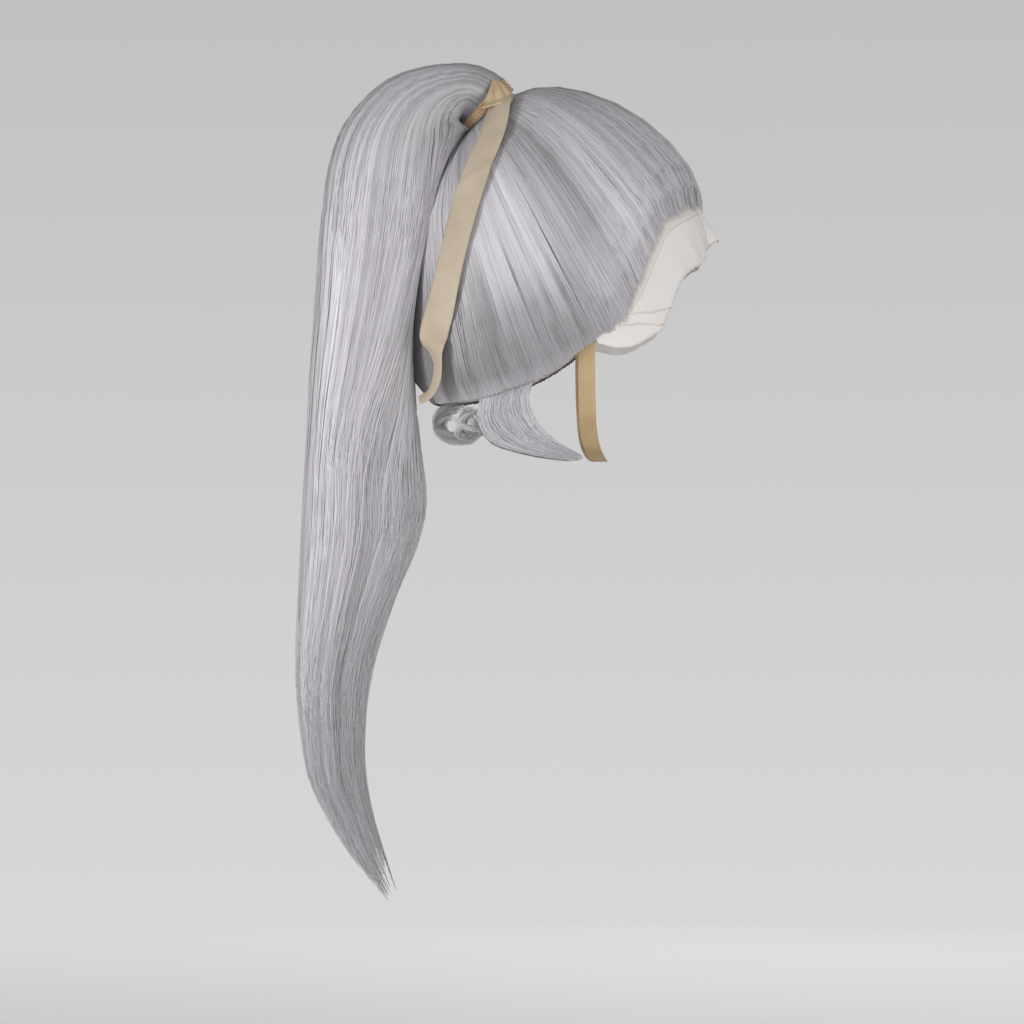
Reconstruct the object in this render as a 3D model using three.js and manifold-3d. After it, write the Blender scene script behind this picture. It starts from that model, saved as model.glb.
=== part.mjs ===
// A lace front wig: silver-lilac hair combed up over a hollow cap into a high ponytail. A sheer lace panel edges the
// hairline, a ribbon is wound round the ponytail's root and hangs down one side, an elastic strap runs under the
// chin, and loose locks and curls hang at the nape.
//
// Millimetres, +Z up. +X is the wearer's front and +Y the wearer's left. The origin is the top of the head, inside
// the cap.

import * as THREE from "three";
import { mergeVertices } from "three/addons/utils/BufferGeometryUtils.js";
import Module from "manifold-3d";

const { Vector3 } = THREE;
const { clamp, degToRad, lerp, smoothstep } = THREE.MathUtils;

// Driving dimensions

// The head that the cap fits. Its reaches run from the middle of its widest level, and a higher roundness is squarer.
const HEAD = {
  front: 100,
  back: 77,
  crown: 95,
  drop: 195,
  halfWidth: 75,
  frontRoundness: 1.9,
  backRoundness: 1.6,
  jawRoundness: 1.85,
  napeRoundness: 2.4,
  sideRoundness: 2.4,
};

// The hair over the cap. The neck is where it gathers up to the tie, as a share of its run from tie to hairline.
const HAIR = {
  depth: 6.5,
  edgeDepth: 4,
  edgeShare: 0.14,
  neckShare: 0.075,
  locks: 24,
  lockDepth: 1.1,
  straightness: 0.75,
  columns: 96,
};

// The ribbon wound round the ponytail's root. The lean is from upright towards the back.
const TIE = {
  x: -36,
  z: -4,
  leanDeg: 41,
  hairRadius: 16.5,
  collar: 6.2,
  width: 9,
  thickness: 2.2,
  tilt: 0.7,
  wrinkles: 7,
  wrinkleDepth: 0.5,
  knotDeg: -59,
};
const KNOT = { length: 8.5, width: 6.5, height: 4.2 };
const TAIL_THICKNESS = 1.2;

const LACE = { thickness: 1, gap: 0.7, rest: 0.3, columns: 52, rows: 3 };
const STRAP = { width: 10, thickness: 1.5 };
const CURL = { x: -50.5, y: 39, z: -204, radiusX: 13.5, radiusZ: 10.5, halfWidth: 5.5, halfDepth: 3.2 };
const CURL_YAW = 0.45;
const PONYTAIL_LOCKS = { count: 9, depth: 0.09, drift: 2.4, tips: 5, ragged: 0.05 };
const SMALL_GAP = 0.3;
const REST_GAP = 1.6;

// Where the hair ends on the wearer's right, from the middle of the forehead round to the middle of the nape. The
// two middle rows lie on the head's own profile.
const HAIRLINE = [
  { name: "peak", x: 98, z: -76 },
  { name: "forehead", x: 91.5, z: -69 },
  { name: "forehead corner", x: 72, z: -80 },
  { name: "upper temple", x: 65.5, z: -95 },
  { name: "temple", x: 59.5, z: -111 },
  { name: "lower temple", x: 52, z: -129 },
  { name: "sideburn front", x: 43, z: -143 },
  { name: "sideburn", x: 29, z: -153 },
  { name: "over the ear", x: 0, z: -173 },
  { name: "behind the ear", x: -28, z: -184 },
  { name: "nape corner", x: -59, z: -190 },
  { name: "nape", x: -71.5, z: -187 },
];

// The lace panel: how far it reaches past the hairline, and how far its free edge stands off the skin, at distances
// along the hairline from the middle of the forehead. The jump below the temple is a pinned dart.
const LACE_PANEL = [
  { along: 0, reach: 15, lift: 9 },
  { along: 12, reach: 18, lift: 7.5 },
  { along: 20, reach: 25, lift: 3 },
  { along: 28, reach: 33, lift: 1.5 },
  { along: 46, reach: 38.5, lift: 1.2 },
  { along: 66, reach: 37.5, lift: 0.8 },
  { along: 84, reach: 34.5, lift: 1 },
  { along: 102, reach: 32, lift: 1.8 },
  { along: 113, reach: 30.5, lift: 3.4 },
  { along: 118, reach: 27, lift: 0.7 },
  { along: 134, reach: 18.5, lift: 1 },
  { along: 146, reach: 11, lift: 0.6 },
  { along: 154, reach: 4, lift: 0.4 },
];

// The ponytail from the tie to its tip: the edge towards the back of the wearer, the outer edge, half its width, and
// the share of its depth at which it is widest. It is widest near its inner edge where it lies round the head.
const PONYTAIL = [
  { innerX: -55, innerZ: -11.5, outerX: -47, outerZ: 21.5, halfWidth: 23, widest: 0.5 },
  { innerX: -56, innerZ: -19, outerX: -96, outerZ: 14, halfWidth: 29, widest: 0.34 },
  { innerX: -57, innerZ: -27, outerX: -125, outerZ: -13, halfWidth: 33, widest: 0.22 },
  { innerX: -60.5, innerZ: -40, outerX: -135, outerZ: -37, halfWidth: 37, widest: 0.15 },
  { innerX: -67, innerZ: -67, outerX: -140, outerZ: -67, halfWidth: 45, widest: 0.1 },
  { innerX: -74, innerZ: -98, outerX: -143, outerZ: -100, halfWidth: 48, widest: 0.08 },
  { innerX: -80.5, innerZ: -132, outerX: -144.5, outerZ: -133, halfWidth: 47, widest: 0.1 },
  { innerX: -82.5, innerZ: -165, outerX: -147, outerZ: -166, halfWidth: 46, widest: 0.2 },
  { innerX: -80.5, innerZ: -196, outerX: -148.5, outerZ: -198, halfWidth: 46, widest: 0.38 },
  { innerX: -76, innerZ: -226, outerX: -150, outerZ: -231, halfWidth: 46, widest: 0.5 },
  { innerX: -72.5, innerZ: -250, outerX: -151.5, outerZ: -260, halfWidth: 46, widest: 0.5 },
  { innerX: -77, innerZ: -276, outerX: -153, outerZ: -290, halfWidth: 46, widest: 0.5 },
  { innerX: -90, innerZ: -306, outerX: -154.5, outerZ: -322, halfWidth: 45, widest: 0.5 },
  { innerX: -105, innerZ: -340, outerX: -156, outerZ: -355, halfWidth: 44, widest: 0.5 },
  { innerX: -113, innerZ: -384, outerX: -154, outerZ: -390, halfWidth: 41, widest: 0.5 },
  { innerX: -113, innerZ: -423, outerX: -147, outerZ: -428, halfWidth: 36, widest: 0.5 },
  { innerX: -107, innerZ: -454, outerX: -131, outerZ: -460, halfWidth: 28, widest: 0.5 },
  { innerX: -91, innerZ: -500, outerX: -98, outerZ: -503, halfWidth: 12, widest: 0.5 },
];

// The ribbon's hanging end, on the wearer's right: its middle line, its width, and how far it has turned on edge.
const TIE_TAIL = [
  { x: -26.7, y: -22.9, z: 0.5, width: 12, twistDeg: 0 },
  { x: -28.5, y: -40.6, z: -9, width: 18, twistDeg: 0 },
  { x: -33, y: -55.5, z: -25, width: 20, twistDeg: 0 },
  { x: -40.8, y: -63.2, z: -44, width: 20, twistDeg: 0 },
  { x: -49.3, y: -68.6, z: -70, width: 20, twistDeg: 0 },
  { x: -57.6, y: -68.3, z: -101, width: 20, twistDeg: 0 },
  { x: -65, y: -63.4, z: -134, width: 19.5, twistDeg: 0 },
  { x: -69, y: -61, z: -152, width: 18, twistDeg: 0 },
  { x: -68, y: -60, z: -161, width: 12.5, twistDeg: 48 },
  { x: -67, y: -59.5, z: -169, width: 10, twistDeg: 66 },
  { x: -68.3, y: -58.5, z: -179, width: 10, twistDeg: 66 },
  { x: -72, y: -57, z: -186, width: 10, twistDeg: 62 },
  { x: -78, y: -55.5, z: -189.5, width: 9, twistDeg: 60 },
];

// Where along its length the hanging end comes free of the hair, and how far it then faces straight sideways.
const TIE_TAIL_FREE = { from: 0.4, to: 0.6, turn: 0.65 };

// The strap's middle line on the wearer's right, from inside the cap's edge to the middle of the chin.
const CHIN_STRAP = [
  { x: 25, y: -69.9, z: -141 },
  { x: 25, y: -69, z: -154 },
  { x: 25, y: -66.5, z: -175 },
  { x: 25.5, y: -61, z: -195 },
  { x: 26.5, y: -54, z: -209 },
  { x: 28.5, y: -45, z: -218 },
  { x: 31, y: -33, z: -223.5 },
  { x: 33, y: -17, z: -226 },
  { x: 34, y: 0, z: -226.7 },
];

// A broad loose lock that sweeps from behind the ear to the jaw: its front and back edge, on the wearer's right.
const SIDE_LOCK = [
  { frontX: -6, frontY: -68, frontZ: -177, backX: -40, backY: -61, backZ: -189, halfDepth: 2.4 },
  { frontX: -10.5, frontY: -62, frontZ: -190, backX: -42, backY: -56, backZ: -203, halfDepth: 3 },
  { frontX: -5, frontY: -58, frontZ: -203, backX: -35, backY: -53, backZ: -214.5, halfDepth: 3 },
  { frontX: 5, frontY: -54, frontZ: -213.5, backX: -19, backY: -50, backZ: -221, halfDepth: 2.6 },
  { frontX: 15.5, frontY: -49, frontZ: -220, backX: 0, backY: -46, backZ: -225, halfDepth: 2 },
  { frontX: 25, frontY: -43, frontZ: -225, backX: 18, backY: -42, backZ: -227, halfDepth: 1 },
];

// Shared shapes

const HEAD_MIDDLE = new Vector3(0, 0, -HEAD.crown);
const LEAN = degToRad(TIE.leanDeg);
const TIE_AXIS = new Vector3(-Math.sin(LEAN), 0, Math.cos(LEAN));
const TIE_FRONT = new Vector3(Math.cos(LEAN), 0, Math.sin(LEAN));
const TIE_MIDDLE = new Vector3(TIE.x, 0, TIE.z);
const LEFT = new Vector3(0, 1, 0);

const steps = (count) => Array.from({ length: count + 1 }, (_, i) => i / count);
const curveThrough = (rows, pick) => new THREE.CatmullRomCurve3(rows.map(pick));

// The value of a table's column where another column has the given value, on straight lines between its rows.
function columnAt(rows, by, value, column) {
  const found = rows.findIndex((row) => row[by] > value);
  const next = found < 0 ? rows.length - 1 : Math.max(found, 1);
  const [from, to] = [rows[next - 1], rows[next]];
  const share = clamp((value - from[by]) / (to[by] - from[by]), 0, 1);
  return lerp(from[column], to[column], share);
}

// The share of the head's side profile that a place takes up: 1 on the profile itself. Off grows the head all round.
function profileShare(x, z, off = 0) {
  const height = z - HEAD_MIDDLE.z;
  const upper = x > 0 ? HEAD.frontRoundness : HEAD.backRoundness;
  const lower = x > 0 ? HEAD.jawRoundness : HEAD.napeRoundness;
  const roundness = height > 0 ? upper : lower;
  const across = Math.abs(x) / ((x > 0 ? HEAD.front : HEAD.back) + off);
  const upright = Math.abs(height) / ((height > 0 ? HEAD.crown : HEAD.drop) + off);
  return (across ** roundness + upright ** roundness) ** (1 / roundness);
}

// How far back the head reaches at a place across it and a height.
function backAt(y, z, off) {
  const height = z - HEAD_MIDDLE.z;
  const roundness = height > 0 ? HEAD.backRoundness : HEAD.napeRoundness;
  const upright = Math.abs(height) / ((height > 0 ? HEAD.crown : HEAD.drop) + off);
  const across = Math.abs(y) / (HEAD.halfWidth + off);
  const profile = Math.max(0, 1 - across ** HEAD.sideRoundness) ** (1 / HEAD.sideRoundness);
  return -(HEAD.back + off) * Math.max(0, profile ** roundness - upright ** roundness) ** (1 / roundness);
}

// Half the head's width at a place in its side profile.
function halfWidthAt(x, z, off = 0) {
  const left = Math.max(0, 1 - profileShare(x, z, off) ** HEAD.sideRoundness);
  return (HEAD.halfWidth + off) * left ** (1 / HEAD.sideRoundness);
}

// Under 1 inside the head, 1 on its skin.
function headLevel({ x, y, z }) {
  return profileShare(x, z) ** HEAD.sideRoundness + Math.abs(y / HEAD.halfWidth) ** HEAD.sideRoundness;
}

// Where a line from a place inside the head, in a direction, leaves through the skin.
function skinFrom(place, direction) {
  let [inside, outside] = [0, 2 * HEAD.drop];
  for (let halving = 0; halving < 30; halving++) {
    const middle = (inside + outside) / 2;
    const level = headLevel(place.clone().addScaledVector(direction, middle));
    [inside, outside] = level < 1 ? [middle, outside] : [inside, middle];
  }
  return place.clone().addScaledVector(direction, inside);
}

// The direction straight out of the skin.
function skinNormal(place) {
  const step = 0.05;
  const slope = (axis) => {
    const ahead = place.clone();
    const behind = place.clone();
    ahead[axis] += step;
    behind[axis] -= step;
    return headLevel(ahead) - headLevel(behind);
  };
  return new Vector3(slope("x"), slope("y"), slope("z")).normalize();
}

// A point by the tie: an angle round it from the front towards the wearer's left, a radius, and a height along it.
function byTie(angle, radius, height) {
  return TIE_MIDDLE.clone()
    .addScaledVector(TIE_AXIS, height)
    .addScaledVector(TIE_FRONT, radius * Math.cos(angle))
    .addScaledVector(LEFT, radius * Math.sin(angle));
}

// Joins rings of equal count into one closed skin. An endless skin meets itself, and any other has its first and last
// ring zipped shut, each point to the one as far from the ring's other end.
function loft(rings, endless = false) {
  const count = rings[0].length;
  const faces = [];
  const quad = (a, b, c, d) => faces.push(a, b, c, a, c, d);
  const bands = endless ? rings.length : rings.length - 1;
  for (let ring = 0; ring < bands; ring++) {
    const here = ring * count;
    const next = ((ring + 1) % rings.length) * count;
    for (let i = 0; i < count; i++) {
      const j = (i + 1) % count;
      quad(here + i, here + j, next + j, next + i);
    }
  }
  const last = (rings.length - 1) * count;
  for (let i = 0; !endless && i < count / 2 - 1; i++) {
    const across = count - 1 - i;
    quad(across, across - 1, i + 1, i);
    quad(last + i, last + i + 1, last + across - 1, last + across);
  }
  const points = rings.flat();
  const volume = faces.reduce((sum, _, f) => {
    if (f % 3) return sum;
    const [a, b, c] = [points[faces[f]], points[faces[f + 1]], points[faces[f + 2]]];
    return sum + a.dot(b.clone().cross(c));
  }, 0);
  if (volume < 0) faces.reverse();
  const skin = new THREE.BufferGeometry().setFromPoints(points);
  skin.setIndex(faces);
  skin.computeVertexNormals();
  return skin;
}

// A flat strip along a curve, with a width across it and a thickness through it at each step of the way.
function strip(curve, stepCount, sectionAt) {
  return loft(
    steps(stepCount).map((t) => {
      const middle = curve.getPoint(t);
      const { across, through, width, thickness } = sectionAt(t, middle, curve.getTangent(t));
      const corner = (w, h) =>
        middle.clone().addScaledVector(across, (w * width) / 2).addScaledVector(through, (h * thickness) / 2);
      return [corner(-1, -1), corner(1, -1), corner(1, 1), corner(-1, 1)];
    }),
  );
}

function mirrored(geometry) {
  const copy = geometry.clone().scale(1, -1, 1);
  copy.setIndex(Array.from(copy.index.array).reverse());
  copy.computeVertexNormals();
  return copy;
}

// The combed hair's flow lines

const onRight = (row) => new Vector3(row.x, -halfWidthAt(row.x, row.z), row.z);
const onLeft = (row) => new Vector3(row.x, halfWidthAt(row.x, row.z), row.z);
const [PEAK, NAPE] = [HAIRLINE[0], HAIRLINE.at(-1)];
const SIDES = HAIRLINE.slice(1, -1);
const hairlineCurve = new THREE.CatmullRomCurve3(
  [
    new Vector3(PEAK.x, 0, PEAK.z),
    ...SIDES.map(onRight),
    new Vector3(NAPE.x, 0, NAPE.z),
    ...SIDES.toReversed().map(onLeft),
  ],
  true,
);
const HAIRLINE_LENGTH = hairlineCurve.getLength();

// One line of hair, a share u of the way round the hairline from the peak over the wearer's right. It swings in a
// plane from the tie to the hairline. A straighter line looks straighter from the side.
function flowLine(u) {
  const end = hairlineCurve.getPointAt(THREE.MathUtils.euclideanModulo(u, 1));
  const fromTie = end.clone().sub(TIE_MIDDLE);
  const angle = Math.atan2(fromTie.dot(LEFT), fromTie.dot(TIE_FRONT));
  const pivot = HEAD_MIDDLE.clone().addScaledVector(LEFT, -HAIR.straightness * end.y);
  const towardTie = byTie(angle, TIE.hairRadius, -TIE.collar).sub(pivot).normalize();
  const towardEnd = end.clone().sub(pivot);
  const reach = towardEnd.length();
  const axis = towardTie.clone().cross(towardEnd).normalize();
  const swing = towardTie.angleTo(towardEnd);
  const skinAt = (v) => skinFrom(pivot, towardTie.clone().applyAxisAngle(axis, swing * v));
  return { angle, skinAt, length: swing * reach };
}

// The hair's depth over the skin: rounded locks with furrows between them, thinner at the hairline.
function hairDepth(u, v) {
  const body = smoothstep(1 - v, 0, HAIR.edgeShare);
  const furrow = Math.abs(Math.cos(Math.PI * HAIR.locks * u));
  return lerp(HAIR.edgeDepth, HAIR.depth, body) - HAIR.lockDepth * furrow ** 3 * lerp(0.4, 1, body);
}

function hairTop(line, u, v) {
  const skin = line.skinAt(v);
  const top = skin.clone().addScaledVector(skinNormal(skin), hairDepth(u, v));
  const gathered = byTie(line.angle, TIE.hairRadius, -TIE.collar);
  return top.lerp(gathered, 1 - smoothstep(v, 0, HAIR.neckShare));
}

// The pieces

function combedHair() {
  const shares = steps(HAIR.columns).slice(0, -1);
  const lines = shares.map(flowLine);
  const ring = (pointOf) => lines.map((line, i) => pointOf(line, shares[i]));
  const topShares = [0.03, 0.06, 0.1, 0.16, 0.25, 0.36, 0.47, 0.58, 0.69, 0.8, 0.88, 0.95, 1];
  const insideShares = [1, 0.86, 0.72, 0.57, 0.42, 0.27, 0.12, 0];
  return loft([
    ring((line) => byTie(line.angle, TIE.hairRadius, 0)),
    ring((line) => byTie(line.angle, TIE.hairRadius, -TIE.collar)),
    ...topShares.map((v) => ring((line, u) => hairTop(line, u, v))),
    ...insideShares.map((v) => ring((line) => line.skinAt(v))),
  ]);
}

function laceFront() {
  const ends = LACE_PANEL.at(-1).along;
  return loft(
    steps(LACE.columns).map((share) => {
      const along = lerp(-ends, ends, share);
      const line = flowLine(along / HAIRLINE_LENGTH);
      const reach = columnAt(LACE_PANEL, "along", Math.abs(along), "reach");
      const lift = columnAt(LACE_PANEL, "along", Math.abs(along), "lift");
      const layer = (height) =>
        steps(LACE.rows).map((w) => {
          const skin = line.skinAt(1 + lerp(LACE.gap, reach, w) / line.length);
          return skin.clone().addScaledVector(skinNormal(skin), LACE.rest + height + lift * w ** 2);
        });
      return [...layer(0), ...layer(LACE.thickness).reverse()];
    }),
  );
}

function ponytail() {
  const tieRow = (height, radius) => {
    const [inner, outer] = [byTie(Math.PI, radius, height), byTie(0, radius, height)];
    return { innerX: inner.x, innerZ: inner.z, outerX: outer.x, outerZ: outer.z, halfWidth: radius, widest: 0.5 };
  };
  const rows = [tieRow(SMALL_GAP, TIE.hairRadius - 0.5), tieRow(TIE.width / 2 + 1.5, TIE.hairRadius), ...PONYTAIL];
  const inner = curveThrough(rows, (row) => new Vector3(row.innerX, 0, row.innerZ));
  const outer = curveThrough(rows, (row) => new Vector3(row.outerX, 0, row.outerZ));
  const width = curveThrough(rows, (row) => new Vector3(row.halfWidth, row.widest, 0));
  const { count, depth, drift, tips, ragged } = PONYTAIL_LOCKS;
  const pointAt = (angle, t) => {
    const across = Math.sin(angle);
    const cutBack = ragged * (0.5 + 0.5 * Math.cos(Math.PI * tips * across)) * smoothstep(t, 0.55, 1);
    const along = t - cutBack;
    const [near, far] = [inner.getPoint(along), outer.getPoint(along)];
    const { x: halfWidth, y: widest } = width.getPoint(along);
    const furrow = Math.abs(Math.cos((count * angle) / 2 + drift * along)) ** 3;
    const size = 1 - depth * furrow * smoothstep(t, 0.06, 0.25);
    const squareness = 2 + 12 * (0.5 - widest);
    const flat = (1 - Math.abs(across) ** squareness) ** (1 / squareness);
    const share = Math.cos(angle) > 0 ? lerp(widest, 1, Math.cos(angle) * size) : widest * (1 - flat * size);
    const point = near.clone().lerp(far, share).addScaledVector(LEFT, halfWidth * size * across);
    point.x = Math.min(point.x, backAt(point.y, point.z, HAIR.depth + REST_GAP));
    return point;
  };
  const [around, along] = [36, 38];
  const angles = steps(around).slice(0, -1).map((share) => Math.PI * (0.5 + 1 / around + 2 * share));
  return loft(steps(along).map((t) => angles.map((angle) => pointAt(angle, t))));
}

// Two crumpled turns of ribbon with the knot's lump on them.
async function tieBand() {
  const wasm = await Module();
  wasm.setup();
  const solidOf = (geometry) => {
    const bare = geometry.clone();
    bare.deleteAttribute("normal");
    bare.deleteAttribute("uv");
    const merged = mergeVertices(bare, 1e-3);
    const vertProperties = new Float32Array(merged.attributes.position.array);
    const triVerts = new Uint32Array(merged.index.array);
    return new wasm.Manifold(new wasm.Mesh({ numProp: 3, vertProperties, triVerts }));
  };
  const bore = TIE.hairRadius + 0.5;
  const turns = loft(
    steps(40).slice(0, -1).map((share) => {
      const angle = 2 * Math.PI * share;
      const shift = TIE.tilt * Math.sin(angle);
      const crumple = TIE.wrinkleDepth * Math.sin(TIE.wrinkles * angle);
      const outside = bore + TIE.thickness;
      const half = TIE.width / 2;
      return [
        byTie(angle, bore, shift - half),
        byTie(angle, outside - 0.4, shift - half),
        byTie(angle, outside + 0.6 + crumple, shift - half / 2),
        byTie(angle, outside - 0.5, shift + crumple),
        byTie(angle, outside + 0.6 - crumple, shift + half / 2),
        byTie(angle, outside - 0.4, shift + half),
        byTie(angle, bore, shift + half),
      ];
    }),
    true,
  );
  const angle = degToRad(TIE.knotDeg);
  const lump = new THREE.SphereGeometry(1, 16, 10);
  const out = byTie(angle, 1, 0).sub(TIE_MIDDLE);
  const turn = new THREE.Matrix4().makeBasis(TIE_AXIS, out.clone().cross(TIE_AXIS), out);
  lump.scale(KNOT.length / 2, KNOT.width, KNOT.height).applyMatrix4(turn);
  const place = byTie(angle, bore + TIE.thickness, 0);
  lump.translate(place.x, place.y, place.z);
  const boreCircle = (height) => steps(40).slice(0, -1).map((share) => byTie(2 * Math.PI * share, bore, height));
  const hairThrough = solidOf(loft([boreCircle(-TIE.width), boreCircle(TIE.width)]));
  const { vertProperties, triVerts } = solidOf(turns).add(solidOf(lump).subtract(hairThrough)).getMesh();
  const joined = new THREE.BufferGeometry();
  joined.setAttribute("position", new THREE.BufferAttribute(vertProperties, 3));
  joined.setIndex(new THREE.BufferAttribute(triVerts, 1));
  joined.computeVertexNormals();
  return joined;
}

function tieTail() {
  const path = curveThrough(TIE_TAIL, (row) => new Vector3(row.x, row.y, row.z));
  const turning = curveThrough(TIE_TAIL, (row) => new Vector3(row.width, row.twistDeg, 0));
  return strip(path, 40, (t, middle, tangent) => {
    const { x: width, y: twistDeg } = turning.getPoint(t);
    const sideways = LEFT.clone().negate();
    const free = smoothstep(t, TIE_TAIL_FREE.from, TIE_TAIL_FREE.to);
    const facing = skinNormal(middle).lerp(sideways, TIE_TAIL_FREE.turn * free);
    const outward = facing.projectOnPlane(tangent).normalize();
    const through = outward.applyAxisAngle(tangent, degToRad(twistDeg));
    return { across: tangent.clone().cross(through), through, width, thickness: TAIL_THICKNESS };
  });
}

function chinStrap() {
  const leftSide = CHIN_STRAP.slice(0, -1).toReversed();
  const path = curveThrough(
    [...CHIN_STRAP, ...leftSide.map((row) => ({ ...row, y: -row.y }))],
    (row) => new Vector3(row.x, row.y, row.z),
  );
  const front = new Vector3(1, 0, 0);
  return strip(path, 48, (t, middle, tangent) => {
    const across = front.clone().projectOnPlane(tangent).normalize();
    return { across, through: across.clone().cross(tangent), width: STRAP.width, thickness: STRAP.thickness };
  });
}

function sideLock() {
  const front = curveThrough(SIDE_LOCK, (row) => new Vector3(row.frontX, row.frontY, row.frontZ));
  const back = curveThrough(SIDE_LOCK, (row) => new Vector3(row.backX, row.backY, row.backZ));
  const depth = curveThrough(SIDE_LOCK, (row) => new Vector3(row.halfDepth, 0, 0));
  const [around, along, furrows] = [18, 13, 4];
  const angles = steps(around).slice(0, -1).map((share) => 2 * Math.PI * (share + 0.5 / around));
  return loft(
    steps(along).map((t) => {
      const [from, to] = [back.getPoint(t), front.getPoint(t)];
      const through = to.clone().sub(from).cross(front.getTangent(t)).normalize();
      return angles.map((angle) => {
        const furrow = Math.abs(Math.cos(Math.PI * furrows * (0.5 + 0.5 * Math.cos(angle))));
        const swell = depth.getPoint(t).x * Math.sin(angle) * (1 - 0.3 * furrow ** 3);
        return from.clone().lerp(to, 0.5 + 0.5 * Math.cos(angle)).addScaledVector(through, swell);
      });
    }),
  );
}

// A flat curl that hangs out from under the cap's edge, nearly closed on itself.
function napeCurl() {
  const [around, along] = [8, 24];
  const [start, sweep] = [degToRad(105), degToRad(335)];
  const middleAt = (angle) => {
    const x = CURL.radiusX * Math.cos(angle);
    return new Vector3(CURL.x + x, -CURL.y - CURL_YAW * x, CURL.z + CURL.radiusZ * Math.sin(angle));
  };
  const through = new Vector3(CURL_YAW, 1, 0).normalize();
  return loft(
    steps(along).map((t) => {
      const angle = start + sweep * t;
      const middle = middleAt(angle);
      const outward = middle.clone().sub(new Vector3(CURL.x, -CURL.y, CURL.z)).normalize();
      const taper = lerp(1, 0.35, smoothstep(t, 0.6, 1));
      return steps(around)
        .slice(0, -1)
        .map((share) => {
          const turn = 2 * Math.PI * (share + 0.5 / around);
          return middle
            .clone()
            .addScaledVector(outward, CURL.halfWidth * taper * Math.cos(turn))
            .addScaledVector(through, CURL.halfDepth * taper * Math.sin(turn));
        });
    }),
  );
}

// The wig

const HAIR_LOOK = { color: 0xbdb8bf, roughness: 0.42, metalness: 0 };
const LACE_LOOK = { color: 0xe6dcd3, roughness: 0.85, metalness: 0 };
const RIBBON_LOOK = { color: 0xd2bd9a, roughness: 0.7, metalness: 0 };
const STRAP_LOOK = { color: 0xc99f5e, roughness: 0.8, metalness: 0 };

const wig = new THREE.Group();
wig.name = "lace_front_wig";

function addPiece(name, geometry, look) {
  const piece = new THREE.Mesh(geometry, new THREE.MeshStandardMaterial(look));
  piece.name = name;
  wig.add(piece);
}

addPiece("combed_hair", combedHair(), HAIR_LOOK);
addPiece("lace_front", laceFront(), LACE_LOOK);
addPiece("ponytail", ponytail(), HAIR_LOOK);
addPiece("tie_band", await tieBand(), RIBBON_LOOK);
addPiece("tie_tail", tieTail(), RIBBON_LOOK);
addPiece("chin_strap", chinStrap(), STRAP_LOOK);
const lock = sideLock();
addPiece("side_lock_right", lock, HAIR_LOOK);
addPiece("side_lock_left", mirrored(lock), HAIR_LOOK);
const curl = napeCurl();
addPiece("nape_curl_right", curl, HAIR_LOOK);
addPiece("nape_curl_left", mirrored(curl), HAIR_LOOK);

export default wig;
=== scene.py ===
# %% [markdown]
# # A lace front wig with a high ponytail
# A lace front wig is a net cap with hair sewn and knotted to it. Here the hair is combed up from all round
# the hairline into a ponytail, tied with a ribbon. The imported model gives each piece's place and size. This
# lesson lays real strands over those forms, and makes the lace, the ribbon and the elastic as thin sheets.

import bmesh
import bpy
import numpy as np
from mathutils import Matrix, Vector


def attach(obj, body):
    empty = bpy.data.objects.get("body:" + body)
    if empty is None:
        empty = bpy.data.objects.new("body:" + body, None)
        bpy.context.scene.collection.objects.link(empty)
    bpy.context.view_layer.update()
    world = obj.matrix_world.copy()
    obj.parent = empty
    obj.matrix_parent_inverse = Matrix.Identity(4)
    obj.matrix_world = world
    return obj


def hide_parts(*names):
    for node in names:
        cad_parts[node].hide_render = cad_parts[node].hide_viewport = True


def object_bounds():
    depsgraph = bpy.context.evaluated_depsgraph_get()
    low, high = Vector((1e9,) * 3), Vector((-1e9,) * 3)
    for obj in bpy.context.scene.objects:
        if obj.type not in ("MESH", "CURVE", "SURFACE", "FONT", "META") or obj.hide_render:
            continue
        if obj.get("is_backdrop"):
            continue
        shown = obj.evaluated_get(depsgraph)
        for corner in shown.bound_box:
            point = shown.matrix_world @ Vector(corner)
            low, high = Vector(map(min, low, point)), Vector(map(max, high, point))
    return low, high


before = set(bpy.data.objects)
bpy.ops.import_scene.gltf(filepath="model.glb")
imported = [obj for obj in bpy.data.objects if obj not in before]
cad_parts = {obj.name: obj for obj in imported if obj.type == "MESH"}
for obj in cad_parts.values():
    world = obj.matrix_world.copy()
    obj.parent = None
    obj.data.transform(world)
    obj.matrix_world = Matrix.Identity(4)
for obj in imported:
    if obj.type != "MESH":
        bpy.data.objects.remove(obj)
cad_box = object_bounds()
scene = bpy.context.scene
print("frame:", ", ".join(sorted(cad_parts)))

# %% [markdown]
# ## The camera
# A long lens far away keeps the side view nearly flat, as a catalogue photograph does. One pixel of the
# photograph is 0.625 mm at the middle of the head, which fixes the lens once the distance is chosen.

# %% Set the camera
MM = 0.001
PHOTO_PIXELS = 1024
PIXEL = 0.625 * MM
HEAD_TOP_PIXEL = (545, 98)
CAMERA_DISTANCE = 3.0
SENSOR = 36.0

camera = bpy.data.objects.new("camera", bpy.data.cameras.new("camera"))
scene.collection.objects.link(camera)
camera.data.sensor_width = SENSOR
camera.data.lens = SENSOR * CAMERA_DISTANCE / (PHOTO_PIXELS * PIXEL)
camera.location = (
    (PHOTO_PIXELS / 2 - HEAD_TOP_PIXEL[0]) * PIXEL,
    -CAMERA_DISTANCE,
    (HEAD_TOP_PIXEL[1] - PHOTO_PIXELS / 2) * PIXEL,
)
camera.rotation_euler = (np.pi / 2, 0, 0)
scene.camera = camera
print("lens", round(camera.data.lens, 2), "mm")

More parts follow.
